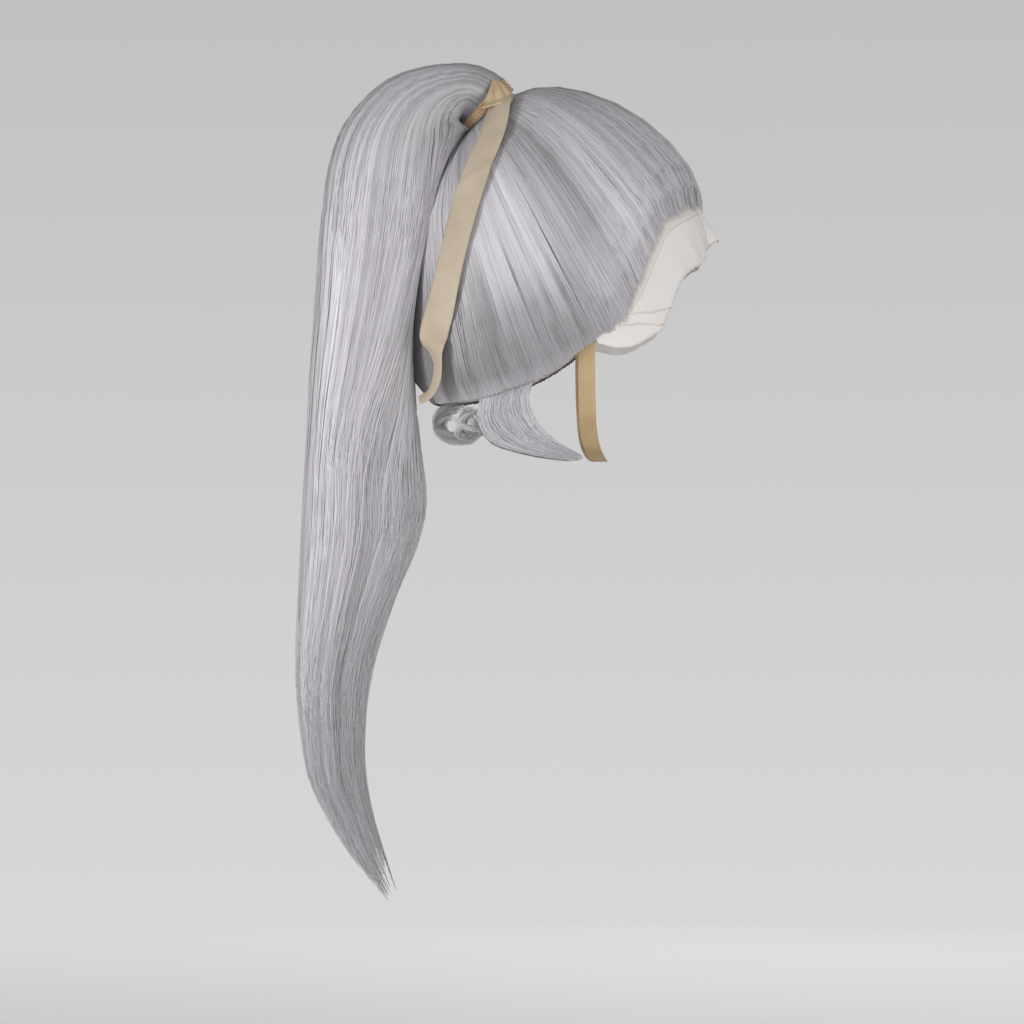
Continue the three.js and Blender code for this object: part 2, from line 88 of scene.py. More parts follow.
# %% [markdown]
# ## The studio
# The backdrop is a plain grey that brightens downwards. A world that reads only the height of a direction
# gives that backdrop from every side, and it lights the wig softly all round, at part of its strength. Tall
# soft lamps at both sides of the camera catch the hair that hangs or slopes down, and leave the crown
# darker. A weaker one over the camera reaches into the gap in front of the ponytail, and adds no shine of
# its own. One behind the wig lights its far side. The floor is a pale disc that fades out at its edge, so
# it has no line.

# %% Helpers for materials
def new_material(name):
    """A material with its node tree, its links and its main shader."""
    material = bpy.data.materials.new(name)
    material.use_nodes = True
    tree = material.node_tree
    return material, tree.nodes, tree.links, tree.nodes["Principled BSDF"]


def ramp_node(nodes, stops):
    """A colour ramp through stops of (place, colour), with grey given as one number."""
    node = nodes.new("ShaderNodeValToRGB")
    elements = node.color_ramp.elements
    while len(elements) < len(stops):
        elements.new(0.5)
    for element, (place, colour) in zip(elements, stops):
        element.position = place
        rgb = (colour,) * 3 if isinstance(colour, (int, float)) else colour
        element.color = (*rgb, 1)
    return node


def math_node(nodes, operation, *constants):
    """An arithmetic node, with constants on its sockets after the first."""
    node = nodes.new("ShaderNodeMath")
    node.operation = operation
    for socket, constant in zip(node.inputs[1:], constants):
        socket.default_value = constant
    return node


# %% Backdrop
BACKDROP_TOP = 0.533
BACKDROP_BOTTOM = 0.701
BACKDROP_REACH = 0.107
AMBIENT = 0.5

scene.view_settings.view_transform = "Standard"
world = bpy.data.worlds.new("studio")
scene.world = world
world.use_nodes = True
sky_nodes, sky_links = world.node_tree.nodes, world.node_tree.links
direction = sky_nodes.new("ShaderNodeTexCoord")
height = sky_nodes.new("ShaderNodeSeparateXYZ")
climb = sky_nodes.new("ShaderNodeMapRange")
climb.inputs["From Min"].default_value = -BACKDROP_REACH
climb.inputs["From Max"].default_value = BACKDROP_REACH
grey = ramp_node(sky_nodes, [(0, BACKDROP_BOTTOM), (1, BACKDROP_TOP)])
sky_links.new(direction.outputs["Generated"], height.inputs["Vector"])
sky_links.new(height.outputs["Z"], climb.inputs["Value"])
sky_links.new(climb.outputs["Result"], grey.inputs["Fac"])
sky_links.new(grey.outputs["Color"], sky_nodes["Background"].inputs["Color"])
ray = sky_nodes.new("ShaderNodeLightPath")
strength = sky_nodes.new("ShaderNodeMapRange")
strength.inputs["To Min"].default_value = AMBIENT
sky_links.new(ray.outputs["Is Camera Ray"], strength.inputs["Value"])
sky_links.new(strength.outputs["Result"], sky_nodes["Background"].inputs["Strength"])
print("backdrop from", BACKDROP_TOP, "at the top to", BACKDROP_BOTTOM, "at the bottom")


# %% Lamps
def soft_lamp(name, place, aim, size, watts):
    """A rectangular lamp, turned towards the place that it aims at."""
    lamp = bpy.data.objects.new(name, bpy.data.lights.new(name, "AREA"))
    scene.collection.objects.link(lamp)
    lamp.data.shape = "RECTANGLE"
    lamp.data.size, lamp.data.size_y = size
    lamp.data.energy = watts
    lamp.location = place
    lamp.rotation_euler = (Vector(aim) - Vector(place)).to_track_quat("-Z", "Y").to_euler()
    return lamp


soft_lamp("left_lamp", (-2.15, -1.1, -0.1), (-0.06, 0, -0.15), (0.8, 1.2), 29)
soft_lamp("right_lamp", (1.6, -1.9, 0.4), (-0.03, 0, -0.12), (0.8, 1.2), 18)
soft_lamp("back_lamp", (0.5, 2.4, 0.2), (-0.05, 0, -0.2), (1.4, 1.4), 34)
front_lamp = soft_lamp("front_lamp", (-0.1, -2.9, 0.1), (-0.05, 0, -0.15), (0.6, 0.6), 17)
front_lamp.visible_glossy = False
print("lamps:", ", ".join(sorted(bpy.data.lights.keys())))

# %% Floor
FLOOR_HEIGHT = -0.62
FLOOR_RADIUS = 1.3
FLOOR_SEGMENTS = 96
FLOOR_GREY = 0.88
FLOOR_FADE = [(0.35, 1), (0.95, 0)]


def pale_floor_material():
    """Pale grey, which fades out with the distance from the middle."""
    material, nodes, links, shader = new_material("pale_floor")
    shader.inputs["Base Color"].default_value = (FLOOR_GREY, FLOOR_GREY, FLOOR_GREY, 1)
    shader.inputs["Roughness"].default_value = 0.9
    place = nodes.new("ShaderNodeTexCoord")
    flatten = nodes.new("ShaderNodeMapping")
    flatten.inputs["Scale"].default_value = (1 / FLOOR_RADIUS, 1 / FLOOR_RADIUS, 0)
    distance = nodes.new("ShaderNodeVectorMath")
    distance.operation = "LENGTH"
    fade = ramp_node(nodes, FLOOR_FADE)
    links.new(place.outputs["Object"], flatten.inputs["Vector"])
    links.new(flatten.outputs["Vector"], distance.inputs[0])
    links.new(distance.outputs["Value"], fade.inputs["Fac"])
    links.new(fade.outputs["Color"], shader.inputs["Alpha"])
    return material


floor_mesh = bmesh.new()
bmesh.ops.create_circle(floor_mesh, cap_ends=True, segments=FLOOR_SEGMENTS, radius=FLOOR_RADIUS)
bmesh.ops.translate(floor_mesh, verts=floor_mesh.verts, vec=(0, 0, FLOOR_HEIGHT))
floor_data = bpy.data.meshes.new("floor")
floor_mesh.to_mesh(floor_data)
floor_mesh.free()
floor_data.materials.append(pale_floor_material())
floor = bpy.data.objects.new("floor", floor_data)
scene.collection.objects.link(floor)
floor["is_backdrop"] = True
print("floor at", FLOOR_HEIGHT, "m")

# %% [markdown]
# ## The form under the hair
# The wig keeps the form that it has when it is worn, and every piece lies on or round that form. So a
# formula for it comes first: a rounded box with its own roundness in each quarter of the side view. All
# places in the tables are in millimetres, and become metres when a mesh is made. The places are arrays, so
# that one call moves thousands of points.

# %% Shared arithmetic
def unit(ways):
    return ways / np.linalg.norm(ways, axis=-1, keepdims=True)


def mix(start, end, share):
    return start + (end - start) * share


def ease(share):
    """A soft step from 0 to 1."""
    share = np.clip(share, 0, 1)
    return share * share * (3 - 2 * share)


def soft_step(value, start, reach):
    """A soft step that begins at a start and is done after a reach."""
    return ease((value - start) / reach)


def bell(value, middle, width):
    """1 at the middle, and softly down to 0 on both sides of it."""
    return np.exp(-(((value - middle) / width) ** 2))


def smooth_rows(rows, shares, closed=False):
    """A table's rows read at shares of its length, on a smooth curve through them."""
    rows = np.asarray(rows, float)
    spans = len(rows) if closed else len(rows) - 1
    if closed:
        padded = np.concatenate([rows[-1:], rows, rows[:2]])
    else:
        padded = np.concatenate([[2 * rows[0] - rows[1]], rows, [2 * rows[-1] - rows[-2]]])
    place = np.clip(shares, 0, 1) * spans
    first = np.minimum(place.astype(int), spans - 1)
    before, start, end, after = (padded[first + step] for step in range(4))
    gap_before, gap, gap_after = (
        np.sqrt(np.linalg.norm(to - at, axis=-1, keepdims=True)) + 1e-9
        for at, to in ((before, start), (start, end), (end, after))
    )
    leave = (start - before) / gap_before - (end - before) / (gap_before + gap) + (end - start) / gap
    arrive = (end - start) / gap - (after - start) / (gap + gap_after) + (after - end) / gap_after
    leave, arrive = leave * gap, arrive * gap
    t = (place - first)[..., None]
    square = 3 * (end - start) - 2 * leave - arrive
    cube = 2 * (start - end) + leave + arrive
    return start + leave * t + square * t**2 + cube * t**3


# %% The head's form
HEAD_FRONT, HEAD_BACK = 100, 77
HEAD_CROWN, HEAD_DROP = 95, 195
HEAD_HALF_WIDTH = 75
FRONT_ROUNDNESS, BACK_ROUNDNESS = 1.9, 1.6
JAW_ROUNDNESS, NAPE_ROUNDNESS = 1.85, 2.4
SIDE_ROUNDNESS = 2.4
HEAD_MIDDLE = np.array((0, 0, -HEAD_CROWN), float)
LEFT = np.array((0, 1, 0), float)
SKIN_HALVINGS = 26
SLOPE_STEP = 0.05


def profile_share(x, z):
    """The share of the head's side profile that a place takes up: 1 on the profile."""
    rise = z - HEAD_MIDDLE[2]
    upper = np.where(x > 0, FRONT_ROUNDNESS, BACK_ROUNDNESS)
    lower = np.where(x > 0, JAW_ROUNDNESS, NAPE_ROUNDNESS)
    roundness = np.where(rise > 0, upper, lower)
    across = np.abs(x) / np.where(x > 0, HEAD_FRONT, HEAD_BACK)
    upright = np.abs(rise) / np.where(rise > 0, HEAD_CROWN, HEAD_DROP)
    return (across**roundness + upright**roundness) ** (1 / roundness)


def head_level(places):
    """Under 1 inside the head, and 1 on its skin."""
    share = profile_share(places[..., 0], places[..., 2])
    return share**SIDE_ROUNDNESS + np.abs(places[..., 1] / HEAD_HALF_WIDTH) ** SIDE_ROUNDNESS


def half_width_at(x, z):
    share = np.maximum(0, 1 - profile_share(x, z) ** SIDE_ROUNDNESS)
    return HEAD_HALF_WIDTH * share ** (1 / SIDE_ROUNDNESS)


def back_at(y, z, off):
    """How far back the head reaches, grown by off, at a place across it and a height."""
    rise = z - HEAD_MIDDLE[2]
    roundness = np.where(rise > 0, BACK_ROUNDNESS, NAPE_ROUNDNESS)
    upright = np.abs(rise) / (np.where(rise > 0, HEAD_CROWN, HEAD_DROP) + off)
    across = np.abs(y) / (HEAD_HALF_WIDTH + off)
    profile = np.maximum(0, 1 - across**SIDE_ROUNDNESS) ** (1 / SIDE_ROUNDNESS)
    return -(HEAD_BACK + off) * np.maximum(0, profile**roundness - upright**roundness) ** (1 / roundness)


def skin_from(places, ways):
    """Where lines from places inside the head leave through its skin."""
    inside = np.zeros(ways.shape[:-1])
    outside = np.full(ways.shape[:-1], 2.0 * HEAD_DROP)
    for _ in range(SKIN_HALVINGS):
        middle = (inside + outside) / 2
        within = head_level(places + ways * middle[..., None]) < 1
        inside = np.where(within, middle, inside)
        outside = np.where(within, outside, middle)
    return places + ways * inside[..., None]


def skin_normal(places):
    steps = SLOPE_STEP * np.eye(3)
    slopes = [head_level(places + step) - head_level(places - step) for step in steps]
    return unit(np.stack(slopes, axis=-1) + 1e-12)


print("head", HEAD_FRONT + HEAD_BACK, "mm long and", 2 * HEAD_HALF_WIDTH, "mm wide")

# %% [markdown]
# ## The way the hair lies
# Combed hair runs from the hairline to the tie, each lock in a plane of its own. So a place in the hair has
# three numbers: u, the share of the way round the hairline, v, the share of the way from the tie to the
# hairline, and its height over the skin. Strands, cap and lace all use these, so they follow each other with
# no fitting.

# %% The tie and the hairline
TIE_MIDDLE = np.array((-36, 0, -4), float)
TIE_LEAN = np.radians(41)
TIE_RADIUS, TIE_BULGE = 16.5, 4.5
TIE_COLLAR = 6.2
TIE_AXIS = np.array((-np.sin(TIE_LEAN), 0, np.cos(TIE_LEAN)))
TIE_FRONT = np.array((np.cos(TIE_LEAN), 0, np.sin(TIE_LEAN)))

# The hairline on the wearer's right, in the side view, from forehead to nape. The ends are in the middle.
HAIRLINE_PEAK = (98, -76)
HAIRLINE_SIDE = [
    (91.5, -69),
    (72, -80),
    (65.5, -95),
    (59.5, -111),
    (52, -129),
    (43, -143),
    (29, -153),
    (0, -173),
    (-28, -184),
    (-59, -190),
]
HAIRLINE_NAPE = (-71.5, -187)
HAIRLINE_POINTS = 1601


def by_tie(angle, radius, height):
    """A place by the tie: an angle round it from front to left, a radius and a height along it."""
    angle, radius, height = np.broadcast_arrays(angle, radius, height)
    across = np.cos(angle)[..., None] * TIE_FRONT + np.sin(angle)[..., None] * LEFT
    return TIE_MIDDLE + height[..., None] * TIE_AXIS + radius[..., None] * across


def tie_radius(angle):
    """The radius of the gathered hair, which bulges towards the back."""
    return TIE_RADIUS + TIE_BULGE * ((1 - np.cos(angle)) / 2) ** 2


def run_lengths(places):
    """The length run along a line at each of its points."""
    return np.concatenate([[0], np.cumsum(np.linalg.norm(np.diff(places, axis=0), axis=1))])


left_hairline = np.array([(x, half_width_at(x, z), z) for x, z in HAIRLINE_SIDE])
hairline_rows = np.concatenate(
    [
        [(HAIRLINE_PEAK[0], 0, HAIRLINE_PEAK[1])],
        left_hairline * (1, -1, 1),
        [(HAIRLINE_NAPE[0], 0, HAIRLINE_NAPE[1])],
        left_hairline[::-1],
    ]
)
hairline_places = smooth_rows(hairline_rows, np.linspace(0, 1, HAIRLINE_POINTS), closed=True)
hairline_run = run_lengths(hairline_places)
HAIRLINE_LENGTH = hairline_run[-1]
print("hairline", round(HAIRLINE_LENGTH), "mm round")

# %% Places in the hair
HAIR_DEPTH, EDGE_DEPTH = 6.5, 4.0
EDGE_SHARE = 0.14
NECK_SHARE = 0.075
LOCKS, LOCK_DEPTH, EDGE_FURROW = 24, 0.5, 0.4
NAPE_MIDDLE, NAPE_REACH = 0.5, 0.06
NAPE_FULLNESS, NAPE_SWELL = 4.5, (0.6, 0.25)
STRAIGHTNESS = 0.75
RISE_IN_RIBBON = 100


def hairline(u):
    run = (np.asarray(u) % 1) * HAIRLINE_LENGTH
    return np.stack([np.interp(run, hairline_run, axis) for axis in hairline_places.T], axis=-1)


def flow(u, v):
    """The skin under a place in the hair, its angle round the tie, and the hair's length to the tie."""
    end = hairline(u)
    from_tie = end - TIE_MIDDLE
    angle = np.arctan2(from_tie[..., 1], from_tie @ TIE_FRONT)
    pivot = HEAD_MIDDLE - STRAIGHTNESS * end[..., 1:2] * LEFT
    toward_tie = unit(by_tie(angle, tie_radius(angle), -TIE_COLLAR) - pivot)
    toward_end = end - pivot
    reach = np.linalg.norm(toward_end, axis=-1)
    cosine = np.sum(toward_tie * toward_end, axis=-1) / reach
    swing = np.arccos(np.clip(cosine, -1, 1))
    aside = unit(toward_end - (cosine * reach)[..., None] * toward_tie)
    turn = (swing * v)[..., None]
    skin = skin_from(pivot, np.cos(turn) * toward_tie + np.sin(turn) * aside)
    return skin, angle, swing * reach


def hair_depth(u, v):
    """The depth of the hair: rounded locks with furrows, thin at the hairline and full at the nape."""
    body = ease((1 - v) / EDGE_SHARE)
    furrow = LOCK_DEPTH * np.abs(np.cos(np.pi * LOCKS * u)) ** 3 * mix(EDGE_FURROW, 1, body)
    nape = NAPE_FULLNESS * bell(u, NAPE_MIDDLE, NAPE_REACH) * soft_step(v, *NAPE_SWELL)
    return mix(EDGE_DEPTH, HAIR_DEPTH, body) - furrow + nape


def hair_place(u, v, depth):
    """A place in the hair, gathered to the tie where v is near 0. Below 0 it runs on up in the ribbon."""
    skin, angle, _ = flow(u, np.maximum(v, 0))
    over = skin + skin_normal(skin) * depth[..., None]
    inset = np.minimum(depth - HAIR_DEPTH, 0)
    height = -TIE_COLLAR - RISE_IN_RIBBON * np.minimum(v, 0)
    gathered = by_tie(angle, tie_radius(angle) + inset, height)
    return mix(gathered, over, ease(v / NECK_SHARE)[..., None])


forehead_length = flow(np.array(0.0), np.array(1.0))[2]
print("hair from the forehead to the tie", round(float(forehead_length)), "mm")

# %% [markdown]
# ## Meshes from grids and from strands
# A sheet starts as a flat grid of faces. Each of its points is then moved to its place by the share that it
# had across and along the grid, and the same shares are kept as a UV map, so a weave or a streak follows the
# sheet. Hair is thousands of thin fibres, too many to make one by one, so their points are worked out as
# arrays and joined in one mesh. Each fibre is a closed three-sided tube that narrows to its ends. The
# normals of its two upper sides fan out only a little from the way that the hair faces, so the mass of hair
# shades softly, as fine hair does. Those of its lower side point the other way, so that a fibre seen from
# behind is lit as well.

# %% Make sheets
def add_piece(name, data, *materials):
    piece = bpy.data.objects.new(name, data)
    scene.collection.objects.link(piece)
    for material in materials:
        data.materials.append(material)
    return piece


def grid_piece(name, grid, place, materials, thickness=0.0, face_slot=None):
    """A grid of columns and rows moved to place(across, along), with a wall or with its doubles merged."""
    columns, rows = grid
    sheet = bmesh.new()
    bmesh.ops.create_grid(sheet, x_segments=columns, y_segments=rows, size=0.5)
    shares = np.array([vert.co[:2] for vert in sheet.verts]) + 0.5
    places = place(shares[:, 0], shares[:, 1]) * MM
    uv = sheet.loops.layers.uv.new("flow")
    sheet.verts.index_update()
    for face in sheet.faces:
        face.smooth = True
        if face_slot is not None:
            face.material_index = face_slot(np.mean([shares[vert.index, 1] for vert in face.verts]))
        for loop in face.loops:
            loop[uv].uv = shares[loop.vert.index]
    for vert, spot in zip(sheet.verts, places):
        vert.co = spot
    if thickness:
        sheet.normal_update()
        bmesh.ops.solidify(sheet, geom=sheet.faces[:], thickness=thickness * MM)
    else:
        bmesh.ops.remove_doubles(sheet, verts=sheet.verts, dist=1e-6)
    if sheet.calc_volume(signed=True) < 0:
        bmesh.ops.reverse_faces(sheet, faces=sheet.faces)
    data = bpy.data.meshes.new(name)
    sheet.to_mesh(data)
    sheet.free()
    print(name, len(data.polygons), "faces")
    return add_piece(name, data, *materials)


# %% Make strands
FIBRE_SIDES = np.radians((90, 330, 210))
FIBRE_FLATNESS = 0.45
FIBRE_FAN = 0.3


def strand_piece(name, paths, outward, half_widths, shade, tone, material):
    """Closed fibres along paths, in one mesh. Shade and tone are marks at each point for the material."""
    count, length = paths.shape[:2]
    along = unit(np.gradient(paths, axis=1) + 1e-9)
    aside = unit(np.cross(along, outward) + 1e-9)
    above = np.cross(aside, along)
    ring = np.cos(FIBRE_SIDES)[:, None] * aside[:, :, None]
    ring = ring + FIBRE_FLATNESS * np.sin(FIBRE_SIDES)[:, None] * above[:, :, None]
    places = paths[:, :, None] + half_widths[:, :, None, None] * ring

    # Four-sided faces along each fibre and a three-sided cap at each end.
    index = np.arange(count * length * 3).reshape(count, length, 3)
    here, there = index[:, :-1], index[:, 1:]
    quads = np.stack([here, np.roll(here, -1, 2), np.roll(there, -1, 2), there], axis=-1).reshape(-1, 4)
    caps = np.concatenate([index[:, 0, ::-1], index[:, -1]])
    corners = np.concatenate([quads.ravel(), caps.ravel()])
    starts = np.concatenate([np.arange(len(quads)) * 4, len(quads) * 4 + np.arange(len(caps)) * 3])
    data = bpy.data.meshes.new(name)
    data.vertices.add(index.size)
    data.vertices.foreach_set("co", (places * MM).ravel())
    data.loops.add(len(corners))
    data.loops.foreach_set("vertex_index", corners.astype(np.int32))
    data.polygons.add(len(starts))
    data.polygons.foreach_set("loop_start", starts.astype(np.int32))
    data.polygons.foreach_set("use_smooth", np.ones(len(starts), bool))
    data.update(calc_edges=True)

    # The second of the three sides is the lower one.
    over = unit(FIBRE_FAN * ring + above[:, :, None]).reshape(-1, 3)
    under = unit(FIBRE_FAN * ring - above[:, :, None]).reshape(-1, 3)
    beneath = np.zeros((count, length - 1, 3, 4), bool)
    beneath[:, :, 1] = True
    beneath = np.concatenate([beneath.ravel(), np.zeros(caps.size, bool)])
    data.normals_split_custom_set(np.where(beneath[:, None], under[corners], over[corners]))

    marks = np.ones((count, length, 3, 4), np.float32)
    marks[..., 0] = shade[:, :, None]
    marks[..., 1] = np.clip(tone, 0, 1)[:, :, None]
    data.attributes.new("strand", "FLOAT_COLOR", "POINT").data.foreach_set("color", marks.ravel())
    print(name, count, "fibres,", count * ((length - 1) * 6 + 2), "triangles")
    return add_piece(name, data, material)


# %% [markdown]
# ## The hair's finish
# Silver-lilac synthetic fibre is smooth and a little glossy. Each strand has its own shade of colour and each
# lock its own tone, kept as marks in the mesh, and the tone changes along the hair, which makes the streaks
# and holds the painted shade. Under the strands lies an undercoat, the mass of hair that is too deep to see
# as strands. Its streaks are noise drawn out along the hair. The cap's inside is fine stretch net.

# %% Hair and net finishes
HAIR_SHADES = [(0.0, (0.475, 0.455, 0.482)), (0.4, (0.573, 0.555, 0.585)), (1.0, (0.68, 0.658, 0.692))]
TONE_DARK, TONE_LIGHT = 0.5, 1.2
UNDERCOAT_SHADES = [(0.3, (0.46, 0.44, 0.465)), (0.7, (0.60, 0.58, 0.61))]
NET_CELLS = 420
NET_SHADES = [(0.05, (0.78, 0.74, 0.71)), (0.25, (0.60, 0.56, 0.54))]


def fibre_material(name):
    material, nodes, links, shader = new_material(name)
    mark = nodes.new("ShaderNodeAttribute")
    mark.attribute_name = "strand"
    parts = nodes.new("ShaderNodeSeparateColor")
    shade = ramp_node(nodes, HAIR_SHADES)
    tone = nodes.new("ShaderNodeMapRange")
    tone.inputs["To Min"].default_value = TONE_DARK
    tone.inputs["To Max"].default_value = TONE_LIGHT
    tinted = nodes.new("ShaderNodeVectorMath")
    tinted.operation = "SCALE"
    links.new(mark.outputs["Color"], parts.inputs["Color"])
    links.new(parts.outputs["Red"], shade.inputs["Fac"])
    links.new(parts.outputs["Green"], tone.inputs["Value"])
    links.new(shade.outputs["Color"], tinted.inputs[0])
    links.new(tone.outputs["Result"], tinted.inputs["Scale"])
    links.new(tinted.outputs["Vector"], shader.inputs["Base Color"])
    shader.inputs["Roughness"].default_value = 0.36
    shader.inputs["Specular IOR Level"].default_value = 0.6
    return material


def undercoat_material(name, streaks, waves):
    """Noise on the sheet's UV map, with many streaks across it and few waves along it."""
    material, nodes, links, shader = new_material(name)
    flow_map = nodes.new("ShaderNodeUVMap")
    flow_map.uv_map = "flow"
    stretch = nodes.new("ShaderNodeMapping")
    stretch.inputs["Scale"].default_value = (streaks, waves, 1)
    noise = nodes.new("ShaderNodeTexNoise")
    noise.inputs["Scale"].default_value = 1
    noise.inputs["Detail"].default_value = 4
    shade = ramp_node(nodes, UNDERCOAT_SHADES)
    bump = nodes.new("ShaderNodeBump")
    bump.inputs["Distance"].default_value = 0.4 * MM
    links.new(flow_map.outputs["UV"], stretch.inputs["Vector"])
    links.new(stretch.outputs["Vector"], noise.inputs["Vector"])
    links.new(noise.outputs["Fac"], shade.inputs["Fac"])
    links.new(noise.outputs["Fac"], bump.inputs["Height"])
    links.new(shade.outputs["Color"], shader.inputs["Base Color"])
    links.new(bump.outputs["Normal"], shader.inputs["Normal"])
    shader.inputs["Roughness"].default_value = 0.5
    return material


def cap_net_material():
    """Threads along the edges of small cells."""
    material, nodes, links, shader = new_material("cap_net")
    place = nodes.new("ShaderNodeTexCoord")
    cells = nodes.new("ShaderNodeTexVoronoi")
    cells.feature = "DISTANCE_TO_EDGE"
    cells.inputs["Scale"].default_value = NET_CELLS
    shade = ramp_node(nodes, NET_SHADES)
    bump = nodes.new("ShaderNodeBump")
    bump.inputs["Distance"].default_value = 0.3 * MM
    bump.invert = True
    links.new(place.outputs["Object"], cells.inputs["Vector"])
    links.new(cells.outputs["Distance"], shade.inputs["Fac"])
    links.new(cells.outputs["Distance"], bump.inputs["Height"])
    links.new(shade.outputs["Color"], shader.inputs["Base Color"])
    links.new(bump.outputs["Normal"], shader.inputs["Normal"])
    shader.inputs["Roughness"].default_value = 0.85
    return material


silver_fibre = fibre_material("silver_fibre")
combed_undercoat = undercoat_material("combed_undercoat", 900, 5)
tail_undercoat = undercoat_material("tail_undercoat", 420, 9)
cap_net = cap_net_material()
print("hair finishes:", silver_fibre.name, combed_undercoat.name, tail_undercoat.name, cap_net.name)

# %% [markdown]
# ## The cap and its undercoat
# The cap is a hollow shell, open below where the head goes in. One grid makes it: its rows start at the
# middle of the tie, run down the outside to the hairline, turn round the thin edge, and run back up the
# inside to the crown. Where a row shrinks to a point, its doubles are merged, so both ends are closed.

# %% Make the cap
CAP_COLUMNS = 192
UNDER_STRANDS = 1.5
EDGE_WALL = 0.5
EDGE_START, EDGE_THINNING = 0.98, 0.2
TIE_ROWS = 2

# The rows' shares of the way from the tie to the hairline, on the outside, and back on the inside.
NECK_ROWS = (0, 0.015, 0.03, 0.05, 0.075, 0.1, 0.13)
SIDE_ROWS = np.linspace(0.17, 0.97, 21)
EDGE_ROWS = (0.985, 1)
OUTSIDE_ROWS = np.concatenate([NECK_ROWS, SIDE_ROWS, EDGE_ROWS])
INSIDE_ROWS = np.array((1, 0.97, 0.9, 0.8, 0.7, 0.6, 0.5, 0.4, 0.3, 0.2, 0.1, 0.03, 0))
inside_start = TIE_ROWS + len(OUTSIDE_ROWS)
last_cap_row = inside_start + len(INSIDE_ROWS)


def undercoat_depth(u, v):
    return mix(EDGE_WALL, hair_depth(u, v) - UNDER_STRANDS, ease((EDGE_START - v) / EDGE_THINNING))


def cap_place(across, along):
    row = np.rint(along * last_cap_row).astype(int)
    v_out = OUTSIDE_ROWS[np.clip(row - TIE_ROWS, 0, len(OUTSIDE_ROWS) - 1)]
    v_in = INSIDE_ROWS[np.clip(row - inside_start, 0, len(INSIDE_ROWS) - 1)]
    places = hair_place(across, v_out, undercoat_depth(across, v_out))
    skin, angle, _ = flow(across, v_in)
    places[row >= inside_start] = skin[row >= inside_start]
    ring = by_tie(angle, tie_radius(angle) - UNDER_STRANDS, 0)
    places[row == 1] = ring[row == 1]
    places[row == 0] = TIE_MIDDLE
    places[row == last_cap_row] = skin[row == last_cap_row - 1].mean(axis=0)
    return places


hair_cap = grid_piece(
    "hair_cap",
    (CAP_COLUMNS, last_cap_row),
    cap_place,
    (combed_undercoat, cap_net),
    face_slot=lambda along: int(along > (inside_start - 0.5) / last_cap_row),
)

# %% [markdown]
# ## The combed strands
# The strands rise from the lace at the forehead, where thin roots lie at different places so that the edge
# is soft. From the sideburns to the nape they come from inside instead, and turn round the cap's edge. All
# run up to the tie. They hold together in narrow locks, which wander a little, and a few stray strands cross
# the others. The hair is darker near the tie, over the ear, at the nape and along the hem. That is painted
# shade, put into the strands' tone. A piece for each quarter keeps the meshes small.

# %% Random draws for strands
STRAY_SHARE, STRAY_DRIFT = 0.06, 0.035
STRAND_SIZES = (0.6, 1.25)
FULL_TURN = (0, 2 * np.pi)


class StrandDraws:
    """Random numbers for strands that lie side by side and hold together in locks."""

    def __init__(self, seed, count, locks, scatter):
        self.rng = np.random.default_rng(seed)
        self.count = count
        self.locks = locks
        share = (np.arange(count) + self.rng.random(count)) / count
        near = share * locks + scatter * self.rng.standard_normal(count)
        self.lock = np.clip(near, 0, locks - 1).astype(int)
        self.share = share[:, None]
        self.lock_middle = (self.lock[:, None] + 0.5) / locks

    def per_lock(self, low, high):
        return self.rng.uniform(low, high, self.locks)[self.lock][:, None]

    def per_strand(self, low, high):
        return self.rng.uniform(low, high, (self.count, 1))

    def strays(self):
        """How far each strand strays from its lock, which is 0 for most."""
        return (self.per_strand(0, 1) < STRAY_SHARE) * self.rng.standard_normal((self.count, 1))


def narrowed(share, size, reach):
    """A strand's width near an end: a size at the end itself, and the full width after a reach."""
    return mix(size, 1, ease(share / reach))


# %% Shadows in the combed hair
# Distances along the hairline from the forehead's middle: a start and a blend for the side and for the nape,
# and a middle and a width for the wedge over the ear.
SIDE_START, SIDE_BLEND = 70, 50
NAPE_START, NAPE_BLEND = 205, 40
WEDGE_MIDDLE, WEDGE_WIDTH = 120, 20

# Painted shade, taken off the strands' tone: how much darker each part is, and where v fades it in or out,
# as a start and a reach. It stands for the shade in the crevice by the tie, where the hair turns under at
# the hem, in the ponytail's shadow at the nape, and in a band over the ear.
TIE_DARK_FRONT, TIE_DARK_SIDE, TIE_LESS_AT_NAPE, TIE_FADE = 0.2, 0.55, 0.3, (0.15, 0.4)
HEM_DARK, HEM_FADE = 0.8, 0.18
NAPE_DARK, NAPE_FADE = 0.3, (0.4, 0.3)
WEDGE_DARK, WEDGE_FADE = 0.6, (0.2, 0.2)
WEDGE_LIGHTENING, WEDGE_END = 0.7, (0.7, 0.22)


def combed_painted_shade(root_run, hem, v, hem_from):
    """Painted shade: how much darker the hair is made near the tie, along the hem, at the nape and over the
    ear.
    """
    beside = soft_step(root_run, SIDE_START, SIDE_BLEND)
    behind = soft_step(root_run, NAPE_START, NAPE_BLEND)
    wedge = WEDGE_DARK * bell(root_run, WEDGE_MIDDLE, WEDGE_WIDTH)
    near_tie = mix(TIE_DARK_FRONT, TIE_DARK_SIDE, beside) - TIE_LESS_AT_NAPE * behind
    shadow = near_tie * (1 - soft_step(v, *TIE_FADE))
    shadow = shadow + HEM_DARK * hem * soft_step(v, hem_from, HEM_FADE)
    shadow = shadow + NAPE_DARK * behind * soft_step(v, *NAPE_FADE)
    return shadow + wedge * soft_step(v, *WEDGE_FADE) * (1 - WEDGE_LIGHTENING * soft_step(v, *WEDGE_END))


